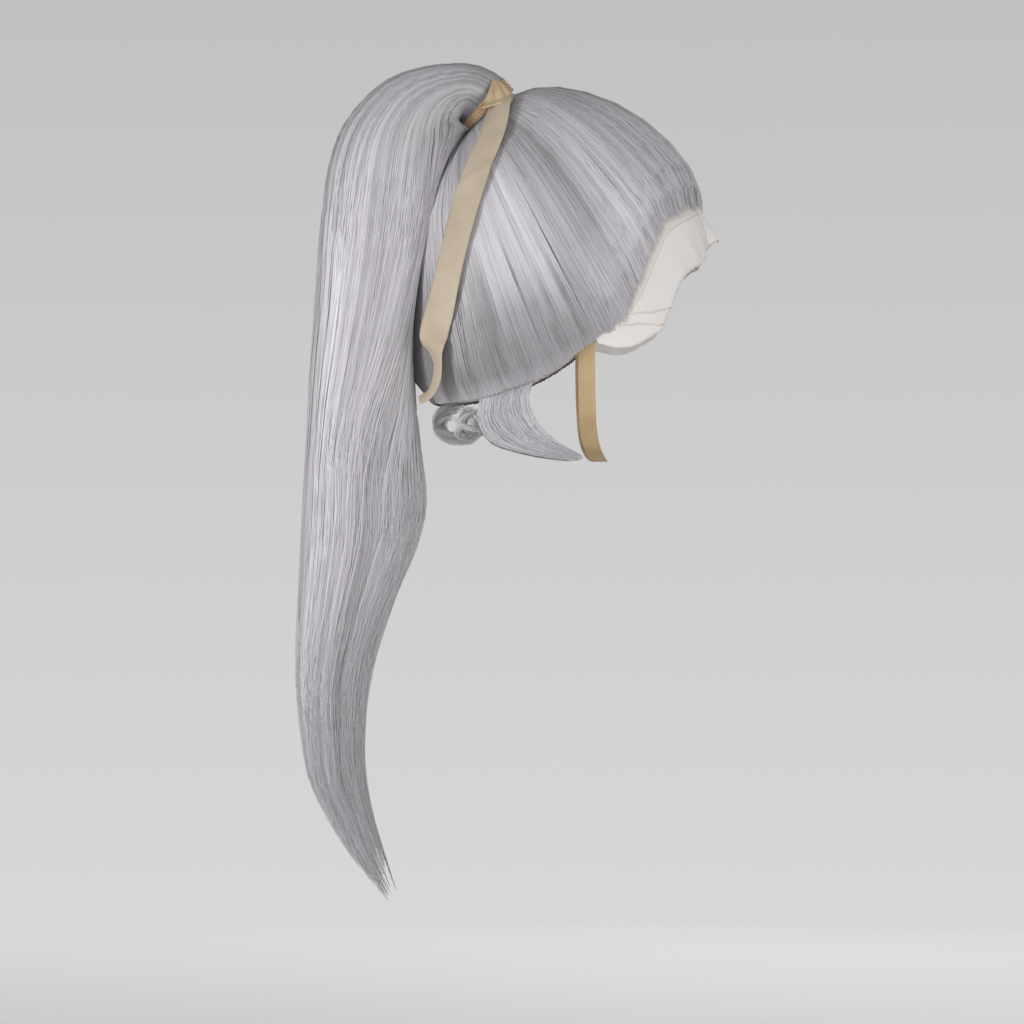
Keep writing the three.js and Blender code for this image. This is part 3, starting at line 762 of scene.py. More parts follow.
# %% Lay the combed strands
STRAND_STEPS = np.array((1, 0.985, 0.955, 0.9, 0.81, 0.69, 0.56, 0.43, 0.3, 0.19, 0.1, 0.045, 0.012, -0.06))
STRANDS_PER_QUARTER = 1340
STRAND_HALF_WIDTH = 0.23
NARROW_LOCKS, LOCK_SCATTER = 46, 0.4
LOCK_PULL, PULL_CURVE = (0.05, 0.5), 0.8
LOCK_LIFT, STRAND_LIFT, STRAY_LIFT = (-0.3, 0.2), (-0.3, 0.2), 0.12
LOCK_SWAY, SWAY_WAVES = 0.25, 5
LOCK_TONE, HEM_DARK_FROM = (0.74, 1), (0.56, 0.74)
BROAD_LOCKS, BROAD_TONE = 9, (-0.16, 0.12)
TONE_WAVE, COMBED_TONE_WAVES = 0.08, 6
LOCK_ROOTS, LACE_ROOTS, HEM_ROOTS = (-1.8, 2.2), (-1.5, 4.5), (0.2, 1.6)
ROOT_DEPTH, ROOT_LEAD = 0.9, 0.12
LACE_RISE, HEM_RISE = 0.14, 0.045
ROOT_TAPER, TIE_TAPER = 0.06, (0.6, 0.3)
HEM_START, HEM_BLEND = 135, 25
# The tucked ends get a lighter tone as painted light, which lifts them out of the shade inside the cap's
# edge.
HEM_TUCK, TUCKED_END_PAINTED_LIGHT = 2.0, 0.4


def combed_strands(name, from_u, to_u, seed):
    draws = StrandDraws(seed, STRANDS_PER_QUARTER, NARROW_LOCKS, LOCK_SCATTER)
    pull = draws.per_lock(*LOCK_PULL)
    lock_lift = draws.per_lock(*LOCK_LIFT)
    wave = draws.per_lock(*FULL_TURN)
    lock_tone = draws.per_lock(*LOCK_TONE)
    hem_from = draws.per_lock(*HEM_DARK_FROM)
    broad_tones = draws.rng.uniform(*BROAD_TONE, BROAD_LOCKS)
    broad = np.interp(draws.share, np.linspace(0, 1, BROAD_LOCKS), broad_tones)

    # The roots.
    root_u = mix(from_u, to_u, draws.share)
    root_run = np.minimum(root_u, 1 - root_u) * HAIRLINE_LENGTH
    hem = soft_step(root_run, HEM_START, HEM_BLEND)
    length = flow(root_u, np.ones_like(root_u))[2]
    lace_root = draws.per_lock(*LOCK_ROOTS) + draws.per_strand(*LACE_ROOTS)
    root = 1 + mix(lace_root, draws.per_strand(*HEM_ROOTS), hem) / length

    # The way from the roots to the tie.
    v = np.where(STRAND_STEPS > 0, STRAND_STEPS * root, STRAND_STEPS)
    away = np.sin(np.pi * np.clip(v, 0, 1))
    stray = draws.strays()
    sway = (LOCK_SWAY / NARROW_LOCKS * np.sin(SWAY_WAVES * v + wave) + STRAY_DRIFT * stray) * away
    u = mix(from_u, to_u, mix(draws.share, draws.lock_middle, pull * away**PULL_CURVE) + sway)
    lift = lock_lift + draws.per_strand(*STRAND_LIFT) + STRAY_LIFT * np.abs(stray) * away
    rise = ease((root - v) / mix(LACE_RISE, HEM_RISE, hem) + ROOT_LEAD * hem)
    depth = mix(ROOT_DEPTH, hair_depth(u, np.clip(v, 0, 1)) + lift, rise)

    # At the hem, the first point is tucked into the cap's edge and the second is just below it.
    v[:, :1] = mix(v[:, :1], root - HEM_TUCK / length, hem)
    v[:, 1:2] = mix(v[:, 1:2], root, hem)
    depth[:, :1] = mix(depth[:, :1], EDGE_WALL / 2, hem)
    depth[:, 1:2] = mix(depth[:, 1:2], ROOT_DEPTH, hem)
    paths = hair_place(u, v, depth)
    taper = mix(ease((root - v) / ROOT_TAPER + ROOT_LEAD), 1, hem) * narrowed(v, *TIE_TAPER)
    half_widths = STRAND_HALF_WIDTH * draws.per_strand(*STRAND_SIZES) * taper
    tone = lock_tone + broad + TONE_WAVE * np.sin(wave + COMBED_TONE_WAVES * v)
    # The painted shade is taken off the tone here.
    tone = tone - combed_painted_shade(root_run, hem, v, hem_from)
    # Painted light on the tucked ends, which lie in shade inside the cap's edge.
    tone[:, :2] = mix(tone[:, :2], TUCKED_END_PAINTED_LIGHT, hem)
    shade = draws.per_strand(0, 1)
    return strand_piece(name, paths, skin_normal(paths), half_widths, shade, tone, silver_fibre)


combed = [
    combed_strands("combed_strands_right_front", 0.0, 0.25, 11),
    combed_strands("combed_strands_right_back", 0.25, 0.5, 12),
    combed_strands("combed_strands_left_back", 0.5, 0.75, 13),
    combed_strands("combed_strands_left_front", 0.75, 1.0, 14),
]

# %% [markdown]
# ## The ponytail
# From the tie the hair springs up and back, falls behind the head, and narrows to an uneven tip. A table
# gives its inner and outer edge in the side view, its half width, and how near the inner edge it is widest,
# since it lies round the head's back. A core of undercoat fills the middle, and strands of different lengths
# lie over it.

# %% The ponytail's form
TAIL_FURROWS, TAIL_FURROW_DEPTH, TAIL_DRIFT = 9, 0.05, 2.4
TAIL_FURROW_START = (0.06, 0.19)
TAIL_SQUARENESS = 12
TAIL_REST = 1.6
SNUG_TOP, SNUG_START, SNUG_BOTTOM, SNUG_END, SNUG_CURVE = -16.5, 4, -60, 20, 1.5

# The height and radius by the tie where the inner edge and the outer edge leave it.
TAIL_ROOT = [(0.3, 20.5, 0.3, 16.4), (2.0, 22.0, 6.2, 17.8)]

# Inner x and z, outer x and z, half width, and the share of the depth where it is widest.
TAIL_ROWS = [
    (-55, -19.2, -47, 21.5, 23, 0.5),
    (-55.5, -24, -96, 14, 29, 0.3),
    (-57, -29.5, -125, -13, 33, 0.185),
    (-60.5, -40, -135, -37, 37, 0.134),
    (-67, -67, -140, -67, 45, 0.075),
    (-74, -98, -143, -100, 48, 0.05),
    (-80.5, -132, -144.5, -133, 47, 0.08),
    (-82.5, -165, -147, -166, 46, 0.2),
    (-80.5, -196, -148.5, -198, 46, 0.38),
    (-76, -226, -150, -231, 46, 0.5),
    (-72.5, -250, -151.5, -260, 46, 0.5),
    (-77, -276, -153, -290, 46, 0.5),
    (-90, -306, -154.5, -322, 45, 0.5),
    (-105, -340, -156, -355, 44, 0.5),
    (-113, -384, -154, -390, 41, 0.5),
    (-113, -423, -147, -428, 36, 0.5),
    (-107, -454, -131, -460, 28, 0.5),
    (-91, -500, -98, -503, 12, 0.5),
]


def tail_root_row(inner_height, inner_radius, outer_height, outer_radius):
    inner = by_tie(np.pi, inner_radius, inner_height)
    outer = by_tie(0, outer_radius, outer_height)
    return (inner[0], inner[2], outer[0], outer[2], outer_radius, 0.5)


tail_rows = np.array([*(tail_root_row(*row) for row in TAIL_ROOT), *TAIL_ROWS], float)


def tail_place(angle, t, fullness):
    """A place in the ponytail: an angle round it, a share of its length, and a share out to its skin."""
    inner = smooth_rows(tail_rows[:, 0:2], t)
    outer = smooth_rows(tail_rows[:, 2:4], t)
    half_width, widest = np.moveaxis(smooth_rows(tail_rows[:, 4:6], t), -1, 0)
    across, front = np.sin(angle), np.cos(angle)
    furrow = np.abs(np.cos(TAIL_FURROWS * angle / 2 + TAIL_DRIFT * t)) ** 3
    size = fullness * (1 - TAIL_FURROW_DEPTH * furrow * soft_step(t, *TAIL_FURROW_START))
    squareness = 2 + TAIL_SQUARENESS * (0.5 - widest)
    flat = (1 - np.minimum(np.abs(across), 1) ** squareness) ** (1 / squareness)
    share = np.where(front > 0, mix(widest, 1, front * size), widest * (1 - flat * size))
    x, z = np.moveaxis(inner + (outer - inner) * share[..., None], -1, 0)
    y = half_width * size * across

    # Just under the ribbon the inner side bends in to touch the head's hair, so no light comes through.
    snug = ease((SNUG_TOP - z) / SNUG_START) * soft_step(z, SNUG_BOTTOM, SNUG_END)
    snug = snug * np.maximum(-front, 0) ** SNUG_CURVE
    clear = np.minimum(x, back_at(y, z, HAIR_DEPTH + TAIL_REST))
    return np.stack([mix(clear, back_at(y, z, HAIR_DEPTH), snug), y, z], axis=-1)


def tail_middle(t):
    """The middle of the ponytail, which its strands face away from."""
    x, z = np.moveaxis(smooth_rows(tail_rows[:, 0:2], t) + smooth_rows(tail_rows[:, 2:4], t), -1, 0) / 2
    return np.stack([x, np.zeros_like(x), z], axis=-1)


# %% The way round the ponytail
ROUND_POINTS = 721
BEHIND_CROWN = 0.3
round_angles = np.linspace(-np.pi, np.pi, ROUND_POINTS)
round_places = tail_place(round_angles, np.full(ROUND_POINTS, BEHIND_CROWN), np.ones(ROUND_POINTS))
round_run = run_lengths(round_places)
print("ponytail", round(round_run[-1]), "mm round behind the crown")


def tail_angle(share):
    """The angle at an even share of the way round, from the inner middle over the wearer's right."""
    return np.interp(share % 1, round_run / round_run[-1], round_angles)


# %% Make the ponytail's core
CORE_FULLNESS_BEND, CORE_FULLNESS, CORE_SWELL = 0.935, 0.965, (0.2, 0.15)
CORE_END = 0.95
CORE_COLUMNS, CORE_ROWS = 96, 110
CORE_TIP_ROWS, CORE_TIP_CURVE = 20, 0.4


def core_place(across, along):
    t = along * CORE_END
    from_end = np.minimum(along, 1 - along) * CORE_ROWS
    tip = np.minimum(from_end / CORE_TIP_ROWS, 1) ** CORE_TIP_CURVE
    closing = np.where(along < 0.5, np.minimum(from_end, 1), tip)
    fullness = mix(CORE_FULLNESS_BEND, CORE_FULLNESS, soft_step(t, *CORE_SWELL))
    middle = tail_middle(t)
    return middle + (tail_place(tail_angle(across), t, fullness) - middle) * closing[:, None]


tail_core = grid_piece("ponytail_core", (CORE_COLUMNS, CORE_ROWS), core_place, (tail_undercoat,))

# %% Lay the ponytail's strands
TAIL_STEPS = np.concatenate([(0, 0.03), np.linspace(0.055, 0.3, 13), np.linspace(0.37, 1, 9)])
TAIL_STRANDS = 820
TAIL_STRAND_HALF_WIDTH = 0.3
TAIL_LOCKS, TAIL_SCATTER = 30, 0.5
TAIL_PULL, TAIL_GATHER = (0.0, 0.45), (0.1, 0.5)
TAIL_TONE = (0.8, 1.1)
TIP_TRIM, LOCK_TRIM, TAIL_SLIP = 0.07, 0.035, 0.4
TAIL_SWAY, TAIL_SWAY_WAVES, TAIL_SWAY_REACH = 0.35, 7, 0.3
LOCK_SINK, STRAND_SINK, SINK_CURVE, SINK_REACH = (0, 0.012), 0.025, 1.5, 0.12
TAIL_RIPPLE, TAIL_RIPPLE_WAVES, TAIL_RIPPLE_START = 0.008, 9, (0.2, 0.3)
TAIL_STRAY_LIFT, TAIL_STRAY_START = 0.03, (0.2, 1)
TAIL_ROOT_TAPER, TAIL_TIP_TAPER = (0.65, 0.3), (0.3, 0.3)

# How much darker the ponytail is by the tie, in its lower part and at its tip, and where t fades that. By
# the tie and in its lower part this is painted shade.
TAIL_TONE_WAVES = 8
TAIL_TOP_PAINTED_SHADE, TAIL_TOP_FADE = 0.65, (0.06, 0.3)
TAIL_LOW_PAINTED_SHADE, TAIL_LOW_FADE = 0.16, (0.4, 0.2)
TAIL_TIP_DARK, TAIL_TIP_FROM, TAIL_TIP_FADE = 0.36, (0.55, 0.75), 0.35


def tail_strands(name, from_share, to_share, seed):
    draws = StrandDraws(seed, TAIL_STRANDS, TAIL_LOCKS, TAIL_SCATTER)
    pull = draws.per_lock(*TAIL_PULL)
    wave = draws.per_lock(*FULL_TURN)
    lock_tone = draws.per_lock(*TAIL_TONE)
    lock_sink = draws.per_lock(*LOCK_SINK)
    ends = 1 - draws.per_lock(0, LOCK_TRIM) - TIP_TRIM * draws.per_strand(0, 1) ** 2
    slip = draws.per_strand(-TAIL_SLIP, TAIL_SLIP) * np.gradient(TAIL_STEPS) * np.sin(np.pi * TAIL_STEPS)
    t = (TAIL_STEPS + slip) * ends

    # The way round the ponytail, and the share out to its skin.
    stray = draws.strays()
    sway = TAIL_SWAY / TAIL_LOCKS * np.sin(TAIL_SWAY_WAVES * t + wave) + STRAY_DRIFT * stray
    share = mix(draws.share, draws.lock_middle, pull * soft_step(t, *TAIL_GATHER))
    share = share + sway * ease(t / TAIL_SWAY_REACH)
    sink = lock_sink + STRAND_SINK * draws.per_strand(0, 1) ** SINK_CURVE
    ripple = TAIL_RIPPLE * np.sin(TAIL_RIPPLE_WAVES * t + draws.per_strand(*FULL_TURN))
    fullness = 1 - sink * ease(t / SINK_REACH) + ripple * soft_step(t, *TAIL_RIPPLE_START)
    fullness = fullness + TAIL_STRAY_LIFT * np.abs(stray) * soft_step(t, *TAIL_STRAY_START)
    paths = tail_place(tail_angle(mix(from_share, to_share, share)), t, fullness)
    outward = unit(paths - tail_middle(t))

    steps = np.linspace(0, 1, len(TAIL_STEPS))
    taper = narrowed(steps, *TAIL_ROOT_TAPER) * narrowed(1 - steps, *TAIL_TIP_TAPER)
    half_widths = TAIL_STRAND_HALF_WIDTH * draws.per_strand(*STRAND_SIZES) * taper
    tone = lock_tone + TONE_WAVE * np.sin(wave + TAIL_TONE_WAVES * t)
    # Painted shade by the tie and in the lower part, then a darker tip.
    tone = tone - TAIL_TOP_PAINTED_SHADE * (1 - soft_step(t, *TAIL_TOP_FADE))
    tone = tone - TAIL_LOW_PAINTED_SHADE * soft_step(t, *TAIL_LOW_FADE)
    tone = tone - TAIL_TIP_DARK * soft_step(t, draws.per_strand(*TAIL_TIP_FROM), TAIL_TIP_FADE)
    shade = draws.per_strand(0, 1)
    return strand_piece(name, paths, outward, half_widths, shade, tone, silver_fibre)


tail = [
    tail_strands("ponytail_strands_right", 0, 1 / 3, 21),
    tail_strands("ponytail_strands_outer", 1 / 3, 2 / 3, 22),
    tail_strands("ponytail_strands_left", 2 / 3, 1, 23),
]

# %% [markdown]
# ## The loose locks at the jaw and the nape
# A broad thin lock hangs from behind each ear and sweeps forward to the jaw, and a short curl hangs at each
# side of the nape. They are open bundles of strands, so that light passes between them, and the left ones
# mirror the right.

# %% The side locks
# Front edge x, y, z, back edge x, y, z, and half depth, on the wearer's right.
SIDE_LOCK_ROWS = np.array(
    [
        (-6, -68, -173, -40, -61, -188, 2.4),
        (-10.5, -62, -189, -42, -56, -202, 3),
        (-5, -58, -203, -35, -53, -214.5, 3),
        (5, -54, -213.5, -19, -50, -221, 2.6),
        (15.5, -49, -220, 0, -46, -225, 2),
        (25, -43, -225, 18, -42, -227, 1),
    ]
)
SIDE_LOCK_STRANDS, SIDE_LOCK_STEPS = 420, 11
SIDE_LOCK_HALF_WIDTH, SIDE_LOCK_TAPER = 0.28, (0.3, 0.6)
SIDE_LOCK_ENDS = (0.8, 1.0)
SIDE_LOCK_CROWDING = 0.85
SIDE_LOCK_SWAY, SIDE_LOCK_WAVES, SIDE_LOCK_EDGE = 0.16, 4, 0.01
SIDE_LOCK_SHADE, SIDE_LOCK_TONE = (0.5, 1), (0.5, 0.7)
LOOSE_SIZES = (0.6, 1.2)


def side_lock(name, side, seed):
    rng = np.random.default_rng(seed)
    each = (SIDE_LOCK_STRANDS, 1)
    steps = np.linspace(0, 1, SIDE_LOCK_STEPS)
    t = steps * rng.uniform(*SIDE_LOCK_ENDS, each)
    across = rng.random(each) ** SIDE_LOCK_CROWDING
    across = across + SIDE_LOCK_SWAY * np.sin(SIDE_LOCK_WAVES * t + rng.uniform(*FULL_TURN, each)) * t
    across = np.clip(across, SIDE_LOCK_EDGE, 1 - SIDE_LOCK_EDGE)[..., None]
    front = smooth_rows(SIDE_LOCK_ROWS[:, 0:3], t)
    back = smooth_rows(SIDE_LOCK_ROWS[:, 3:6], t)
    depth = 2 * smooth_rows(SIDE_LOCK_ROWS[:, 6:7], t) * np.sqrt(across * (1 - across))
    outward = skin_normal((front + back) / 2)
    paths = mix(back, front, across) + outward * depth * rng.uniform(-0.5, 0.5, each)[..., None]
    sizes = SIDE_LOCK_HALF_WIDTH * rng.uniform(*LOOSE_SIZES, each)
    half_widths = sizes * narrowed(1 - steps, *SIDE_LOCK_TAPER)
    shade = rng.uniform(*SIDE_LOCK_SHADE, each)
    tone = rng.uniform(*SIDE_LOCK_TONE, each)
    mirror = np.array((1, side, 1))
    return strand_piece(name, paths * mirror, outward * mirror, half_widths, shade, tone, silver_fibre)


locks = {
    "side_lock_right": side_lock("side_lock_right_strands", 1, 31),
    "side_lock_left": side_lock("side_lock_left_strands", -1, 32),
}

# %% The nape curls
CURL_MIDDLE = np.array((-50.5, -39, -204), float)
CURL_REACH = (17.5, 14.5)
CURL_HALF_DEPTH, CURL_YAW = 3.2, 0.45
CURL_START, CURL_SCATTER, CURL_SWEEP = np.radians(105), 0.3, np.radians(335)
CURL_STRANDS, CURL_STEPS = 230, 16
CURL_HALF_WIDTH, CURL_TAPER = 0.22, (0.4, 0.4)
CURL_ENDS = (0.35, 1.0)
CURL_HOLLOW, CURL_CROWDING, CURL_TIGHTENING = 0.55, 0.6, (0.5, 1)
CURL_WOBBLE, CURL_WOBBLES = 0.05, 3
CURL_FACING = 4
CURL_TONE = (0.4, 0.8)

# The loops of a curl: their shift forwards and up from its middle, their size, and their share of strands.
CURL_LOOPS = np.array([(-3, 0, 0.95, 0.45), (7, 1, 0.6, 0.25), (-9, -2, 0.5, 0.15), (2, -6, 0.45, 0.15)])


def nape_curl(name, side, seed):
    rng = np.random.default_rng(seed)
    each = (CURL_STRANDS, 1)
    steps = np.linspace(0, 1, CURL_STEPS)
    t = steps * rng.uniform(*CURL_ENDS, each)
    angle = CURL_START + rng.normal(0, CURL_SCATTER, each) + CURL_SWEEP * t
    turn = rng.uniform(*FULL_TURN, each)
    loop = rng.choice(len(CURL_LOOPS), CURL_STRANDS, p=CURL_LOOPS[:, 3])
    forwards, up, size = CURL_LOOPS[loop, :3].T[:, :, None]
    ring = size * mix(CURL_HOLLOW, 1, rng.random(each) ** CURL_CROWDING)
    ring = ring * mix(1, rng.uniform(*CURL_TIGHTENING, each), t)
    ring = ring + CURL_WOBBLE * np.sin(CURL_WOBBLES * angle + turn)
    x = CURL_REACH[0] * ring * np.cos(angle) + forwards
    z = CURL_REACH[1] * ring * np.sin(angle) + up
    y = CURL_HALF_DEPTH * np.sin(turn + t) - CURL_YAW * x
    paths = CURL_MIDDLE + np.stack([x, y, z], axis=-1)
    outward = unit(np.stack([x, y - CURL_FACING, z], axis=-1))
    half_widths = CURL_HALF_WIDTH * rng.uniform(*LOOSE_SIZES, each) * narrowed(1 - steps, *CURL_TAPER)
    shade = rng.random(each)
    tone = mix(*CURL_TONE, rng.random(each))
    mirror = np.array((1, side, 1))
    return strand_piece(name, paths * mirror, outward * mirror, half_widths, shade, tone, silver_fibre)


locks["nape_curl_right"] = nape_curl("nape_curl_right_strands", 1, 33)
locks["nape_curl_left"] = nape_curl("nape_curl_left_strands", -1, 34)

# %% [markdown]
# ## The lace
# Lace front means that the hair along the forehead is knotted into a sheer net, which is glued to the skin
# and cut off later. Here it is still uncut, so it stands past the hairline with a rough edge and lifts at
# the peak. The net is too fine for geometry, so the sheet is a thin wall and its cells are in the material,
# on the sheet's own UV map. Its few folds are in both: a low ridge in the sheet, and a darker line along it,
# which is painted shade in the crease and, at the two pleats, also the colour of their seams.

# %% The lace's finish
# From the strip that the hair is knotted into, over the thin line where that strip ends, to the free edge.
LACE_SHADES = [
    (0.14, (0.68, 0.60, 0.55)),
    (0.30, (0.95, 0.88, 0.83)),
    (0.315, (0.74, 0.64, 0.57)),
    (0.335, (0.98, 0.925, 0.885)),
    (1.0, (1.0, 0.955, 0.925)),
]
LACE_CELLS = (330, 30, 1)
LACE_THREAD = [(0.08, 1), (0.22, 0)]
LACE_HOLE_SHADE, LACE_HOLE_COVER = 0.95, 0.88

# The crease of the lifted flap and two pleats by the sideburn, on each side. Each has a distance along the
# hairline from the forehead's middle, which falls by the second number from the hair to the free edge.
LACE_END = 154
LACE_FOLDS = [(35, 13), (145, 50), (157, 50)]
FOLD_REACH = 200
FOLD_HALF_WIDTH = 1.3
# The folds' darker colour: painted shade in the creases, and at the pleats also the seams' colour.
FOLD_SEAM_AND_PAINTED_SHADE = (0.78, 0.68, 0.60)


def fold_lines(nodes, links, sides, colour):
    """The colour darkened along the folds, alike on both sides of the forehead's middle: painted shade in the
    creases, with the seam colour at the pleats.
    """
    centred = math_node(nodes, "MULTIPLY_ADD", 2, -1)
    off = math_node(nodes, "ABSOLUTE")
    links.new(sides.outputs["X"], centred.inputs[0])
    links.new(centred.outputs["Value"], off.inputs[0])
    for start, slant in LACE_FOLDS:
        fall = math_node(nodes, "MULTIPLY", slant / FOLD_REACH)
        across = math_node(nodes, "MULTIPLY_ADD", LACE_END / FOLD_REACH)
        steps = ((-FOLD_HALF_WIDTH, 1), (0, FOLD_SEAM_AND_PAINTED_SHADE), (FOLD_HALF_WIDTH, 1))
        fold = ramp_node(nodes, [((start + step) / FOLD_REACH, tint) for step, tint in steps])
        folded = nodes.new("ShaderNodeVectorMath")
        folded.operation = "MULTIPLY"
        links.new(sides.outputs["Y"], fall.inputs[0])
        links.new(off.outputs["Value"], across.inputs[0])
        links.new(fall.outputs["Value"], across.inputs[2])
        links.new(across.outputs["Value"], fold.inputs["Fac"])
        links.new(colour, folded.inputs[0])
        links.new(fold.outputs["Color"], folded.inputs[1])
        colour = folded.outputs["Vector"]
    return colour


def lace_material():
    material, nodes, links, shader = new_material("ivory_net")
    flow_map = nodes.new("ShaderNodeUVMap")
    flow_map.uv_map = "flow"
    stretch = nodes.new("ShaderNodeMapping")
    stretch.inputs["Scale"].default_value = LACE_CELLS
    cells = nodes.new("ShaderNodeTexVoronoi")
    cells.feature = "DISTANCE_TO_EDGE"
    cells.inputs["Scale"].default_value = 1
    cells.inputs["Randomness"].default_value = 0.35
    thread = ramp_node(nodes, LACE_THREAD)
    sides = nodes.new("ShaderNodeSeparateXYZ")
    knotted = ramp_node(nodes, LACE_SHADES)
    shade = nodes.new("ShaderNodeMapRange")
    shade.inputs["To Min"].default_value = LACE_HOLE_SHADE
    shaded = nodes.new("ShaderNodeVectorMath")
    shaded.operation = "SCALE"
    cover = nodes.new("ShaderNodeMapRange")
    cover.inputs["To Min"].default_value = LACE_HOLE_COVER
    bump = nodes.new("ShaderNodeBump")
    bump.inputs["Distance"].default_value = 0.05 * MM
    links.new(flow_map.outputs["UV"], stretch.inputs["Vector"])
    links.new(flow_map.outputs["UV"], sides.inputs["Vector"])
    links.new(sides.outputs["Y"], knotted.inputs["Fac"])
    links.new(stretch.outputs["Vector"], cells.inputs["Vector"])
    links.new(cells.outputs["Distance"], thread.inputs["Fac"])
    links.new(thread.outputs["Color"], shade.inputs["Value"])
    links.new(knotted.outputs["Color"], shaded.inputs[0])
    links.new(shade.outputs["Result"], shaded.inputs["Scale"])
    links.new(thread.outputs["Color"], cover.inputs["Value"])
    links.new(thread.outputs["Color"], bump.inputs["Height"])
    folded = fold_lines(nodes, links, sides, shaded.outputs["Vector"])
    links.new(folded, shader.inputs["Base Color"])
    links.new(cover.outputs["Result"], shader.inputs["Alpha"])
    links.new(bump.outputs["Normal"], shader.inputs["Normal"])
    shader.inputs["Roughness"].default_value = 0.8
    shader.inputs["Subsurface Weight"].default_value = 0.25
    shader.inputs["Subsurface Radius"].default_value = (1, 1, 1)
    shader.inputs["Subsurface Scale"].default_value = 1.0 * MM
    return material


ivory_net = lace_material()
print("lace finish:", ivory_net.name, "with", len(LACE_FOLDS), "folds on each side")

# %% Make the lace
# Distance along the hairline from the forehead's middle, reach past the hairline, and lift of the free edge.
LACE_ROWS = np.array(
    [
        (0, 14, 0),
        (12, 17, 0),
        (20, 24, 0.8),
        (26, 32, 1.5),
        (46, 38.5, 1.2),
        (66, 37.5, 0.8),
        (84, 34.5, 1),
        (102, 32, 1.2),
        (113, 30.5, 1.2),
        (118, 27, 1),
        (134, 18.5, 1),
        (146, 11.5, 0.6),
        (LACE_END, 4, 0.4),
    ]
)
LACE_REST = 0.5
LACE_UNDER_HAIR = 6.0
LACE_GRID = (320, 14)
LACE_WALL = 0.3
LACE_RIPPLE, RIPPLE_ALONG, RIPPLE_PAST = 0.35, 0.32, 0.12
FLAP_LIFT, FLAP_CURVE = 8.5, 1.2
FOLD_RIDGE, FOLD_START = 0.8, 0.3
FRAY_START, FRAY_BLEND = 44, 12
FRAY_STEPS, FRAY = 210, 0.3
WANDER_STEPS, WANDER = 25, 0.4
lace_rng = np.random.default_rng(41)
fray_noise = lace_rng.uniform(-FRAY, FRAY, FRAY_STEPS)
wander_noise = lace_rng.uniform(-WANDER, WANDER, WANDER_STEPS)


def frayed(across):
    """The cut edge's small and large unevenness, at shares of the way along it, alike on both sides."""
    off = np.abs(2 * across - 1)
    small = np.interp(off, np.linspace(0, 1, FRAY_STEPS), fray_noise)
    return small + np.interp(off, np.linspace(0, 1, WANDER_STEPS), wander_noise)


def lace_place(across, along):
    run = mix(-LACE_END, LACE_END, across)
    off = np.abs(run)
    reach = np.interp(off, LACE_ROWS[:, 0], LACE_ROWS[:, 1])
    reach = reach + frayed(across) * soft_step(off, FRAY_START, FRAY_BLEND)
    lift = np.interp(off, LACE_ROWS[:, 0], LACE_ROWS[:, 2])
    crease, crease_slant = LACE_FOLDS[0]
    flap = FLAP_LIFT * np.clip(2 * (1 - off / (crease - crease_slant * along)), 0, 1)
    folds = sum(bell(off + slant * along, start, FOLD_HALF_WIDTH) for start, slant in LACE_FOLDS)
    ridge = FOLD_RIDGE * folds * ease(along / FOLD_START)
    u = run / HAIRLINE_LENGTH
    past = mix(-LACE_UNDER_HAIR, reach, along)
    length = flow(u, np.ones_like(u))[2]
    skin, _, _ = flow(u, 1 + past / length)
    ripple = LACE_RIPPLE * np.sin(RIPPLE_ALONG * run + RIPPLE_PAST * past) * along
    rise = LACE_REST + lift * along**2 + flap * along**FLAP_CURVE + ripple + ridge
    return skin + skin_normal(skin) * rise[:, None]


lace_panel = grid_piece("lace_panel", LACE_GRID, lace_place, (ivory_net,), thickness=LACE_WALL)

# %% [markdown]
# ## The ribbon
# A plain woven ribbon, about 20 mm wide, is wound twice round the ponytail's root. There it is pulled tight
# and gathers into pleats. It is knotted on the wearer's right, and its loose end hangs flat down the side of
# the combed hair and twists on edge at the bottom.

# %% The ribbon's finish
# A wave texture of scale 1 has about 3.2 bands to the unit.
WAVE_BANDS = 3.2
WEAVE_CONTRAST, WEAVE_STOPS = 0.35, (0.3, 0.85)
WEAVE_PATCHES = 45


def woven_material(name, warp, weft, dark, light, roughness):
    """Cloth of crossing threads, counted along the two sides of the piece's UV map."""
    material, nodes, links, shader = new_material(name)
    flow_map = nodes.new("ShaderNodeUVMap")
    flow_map.uv_map = "flow"
    weave = math_node(nodes, "MULTIPLY")
    for socket, axis, count in ((0, "X", warp), (1, "Y", weft)):
        wave = nodes.new("ShaderNodeTexWave")
        wave.bands_direction = axis
        wave.inputs["Scale"].default_value = count / WAVE_BANDS
        wave.inputs["Distortion"].default_value = 0.4
        links.new(flow_map.outputs["UV"], wave.inputs["Vector"])
        links.new(wave.outputs["Fac"], weave.inputs[socket])
    place = nodes.new("ShaderNodeTexCoord")
    patches = nodes.new("ShaderNodeTexNoise")
    patches.inputs["Scale"].default_value = WEAVE_PATCHES
    patches.inputs["Detail"].default_value = 3
    blend = math_node(nodes, "MULTIPLY_ADD", WEAVE_CONTRAST)
    colour = ramp_node(nodes, list(zip(WEAVE_STOPS, (dark, light))))
    bump = nodes.new("ShaderNodeBump")
    bump.inputs["Distance"].default_value = 0.03 * MM
    links.new(place.outputs["Object"], patches.inputs["Vector"])
    links.new(weave.outputs["Value"], blend.inputs[0])
    links.new(patches.outputs["Fac"], blend.inputs[2])
    links.new(blend.outputs["Value"], colour.inputs["Fac"])
    links.new(colour.outputs["Color"], shader.inputs["Base Color"])
    links.new(weave.outputs["Value"], bump.inputs["Height"])
    links.new(bump.outputs["Normal"], shader.inputs["Normal"])
    shader.inputs["Roughness"].default_value = roughness
    return material


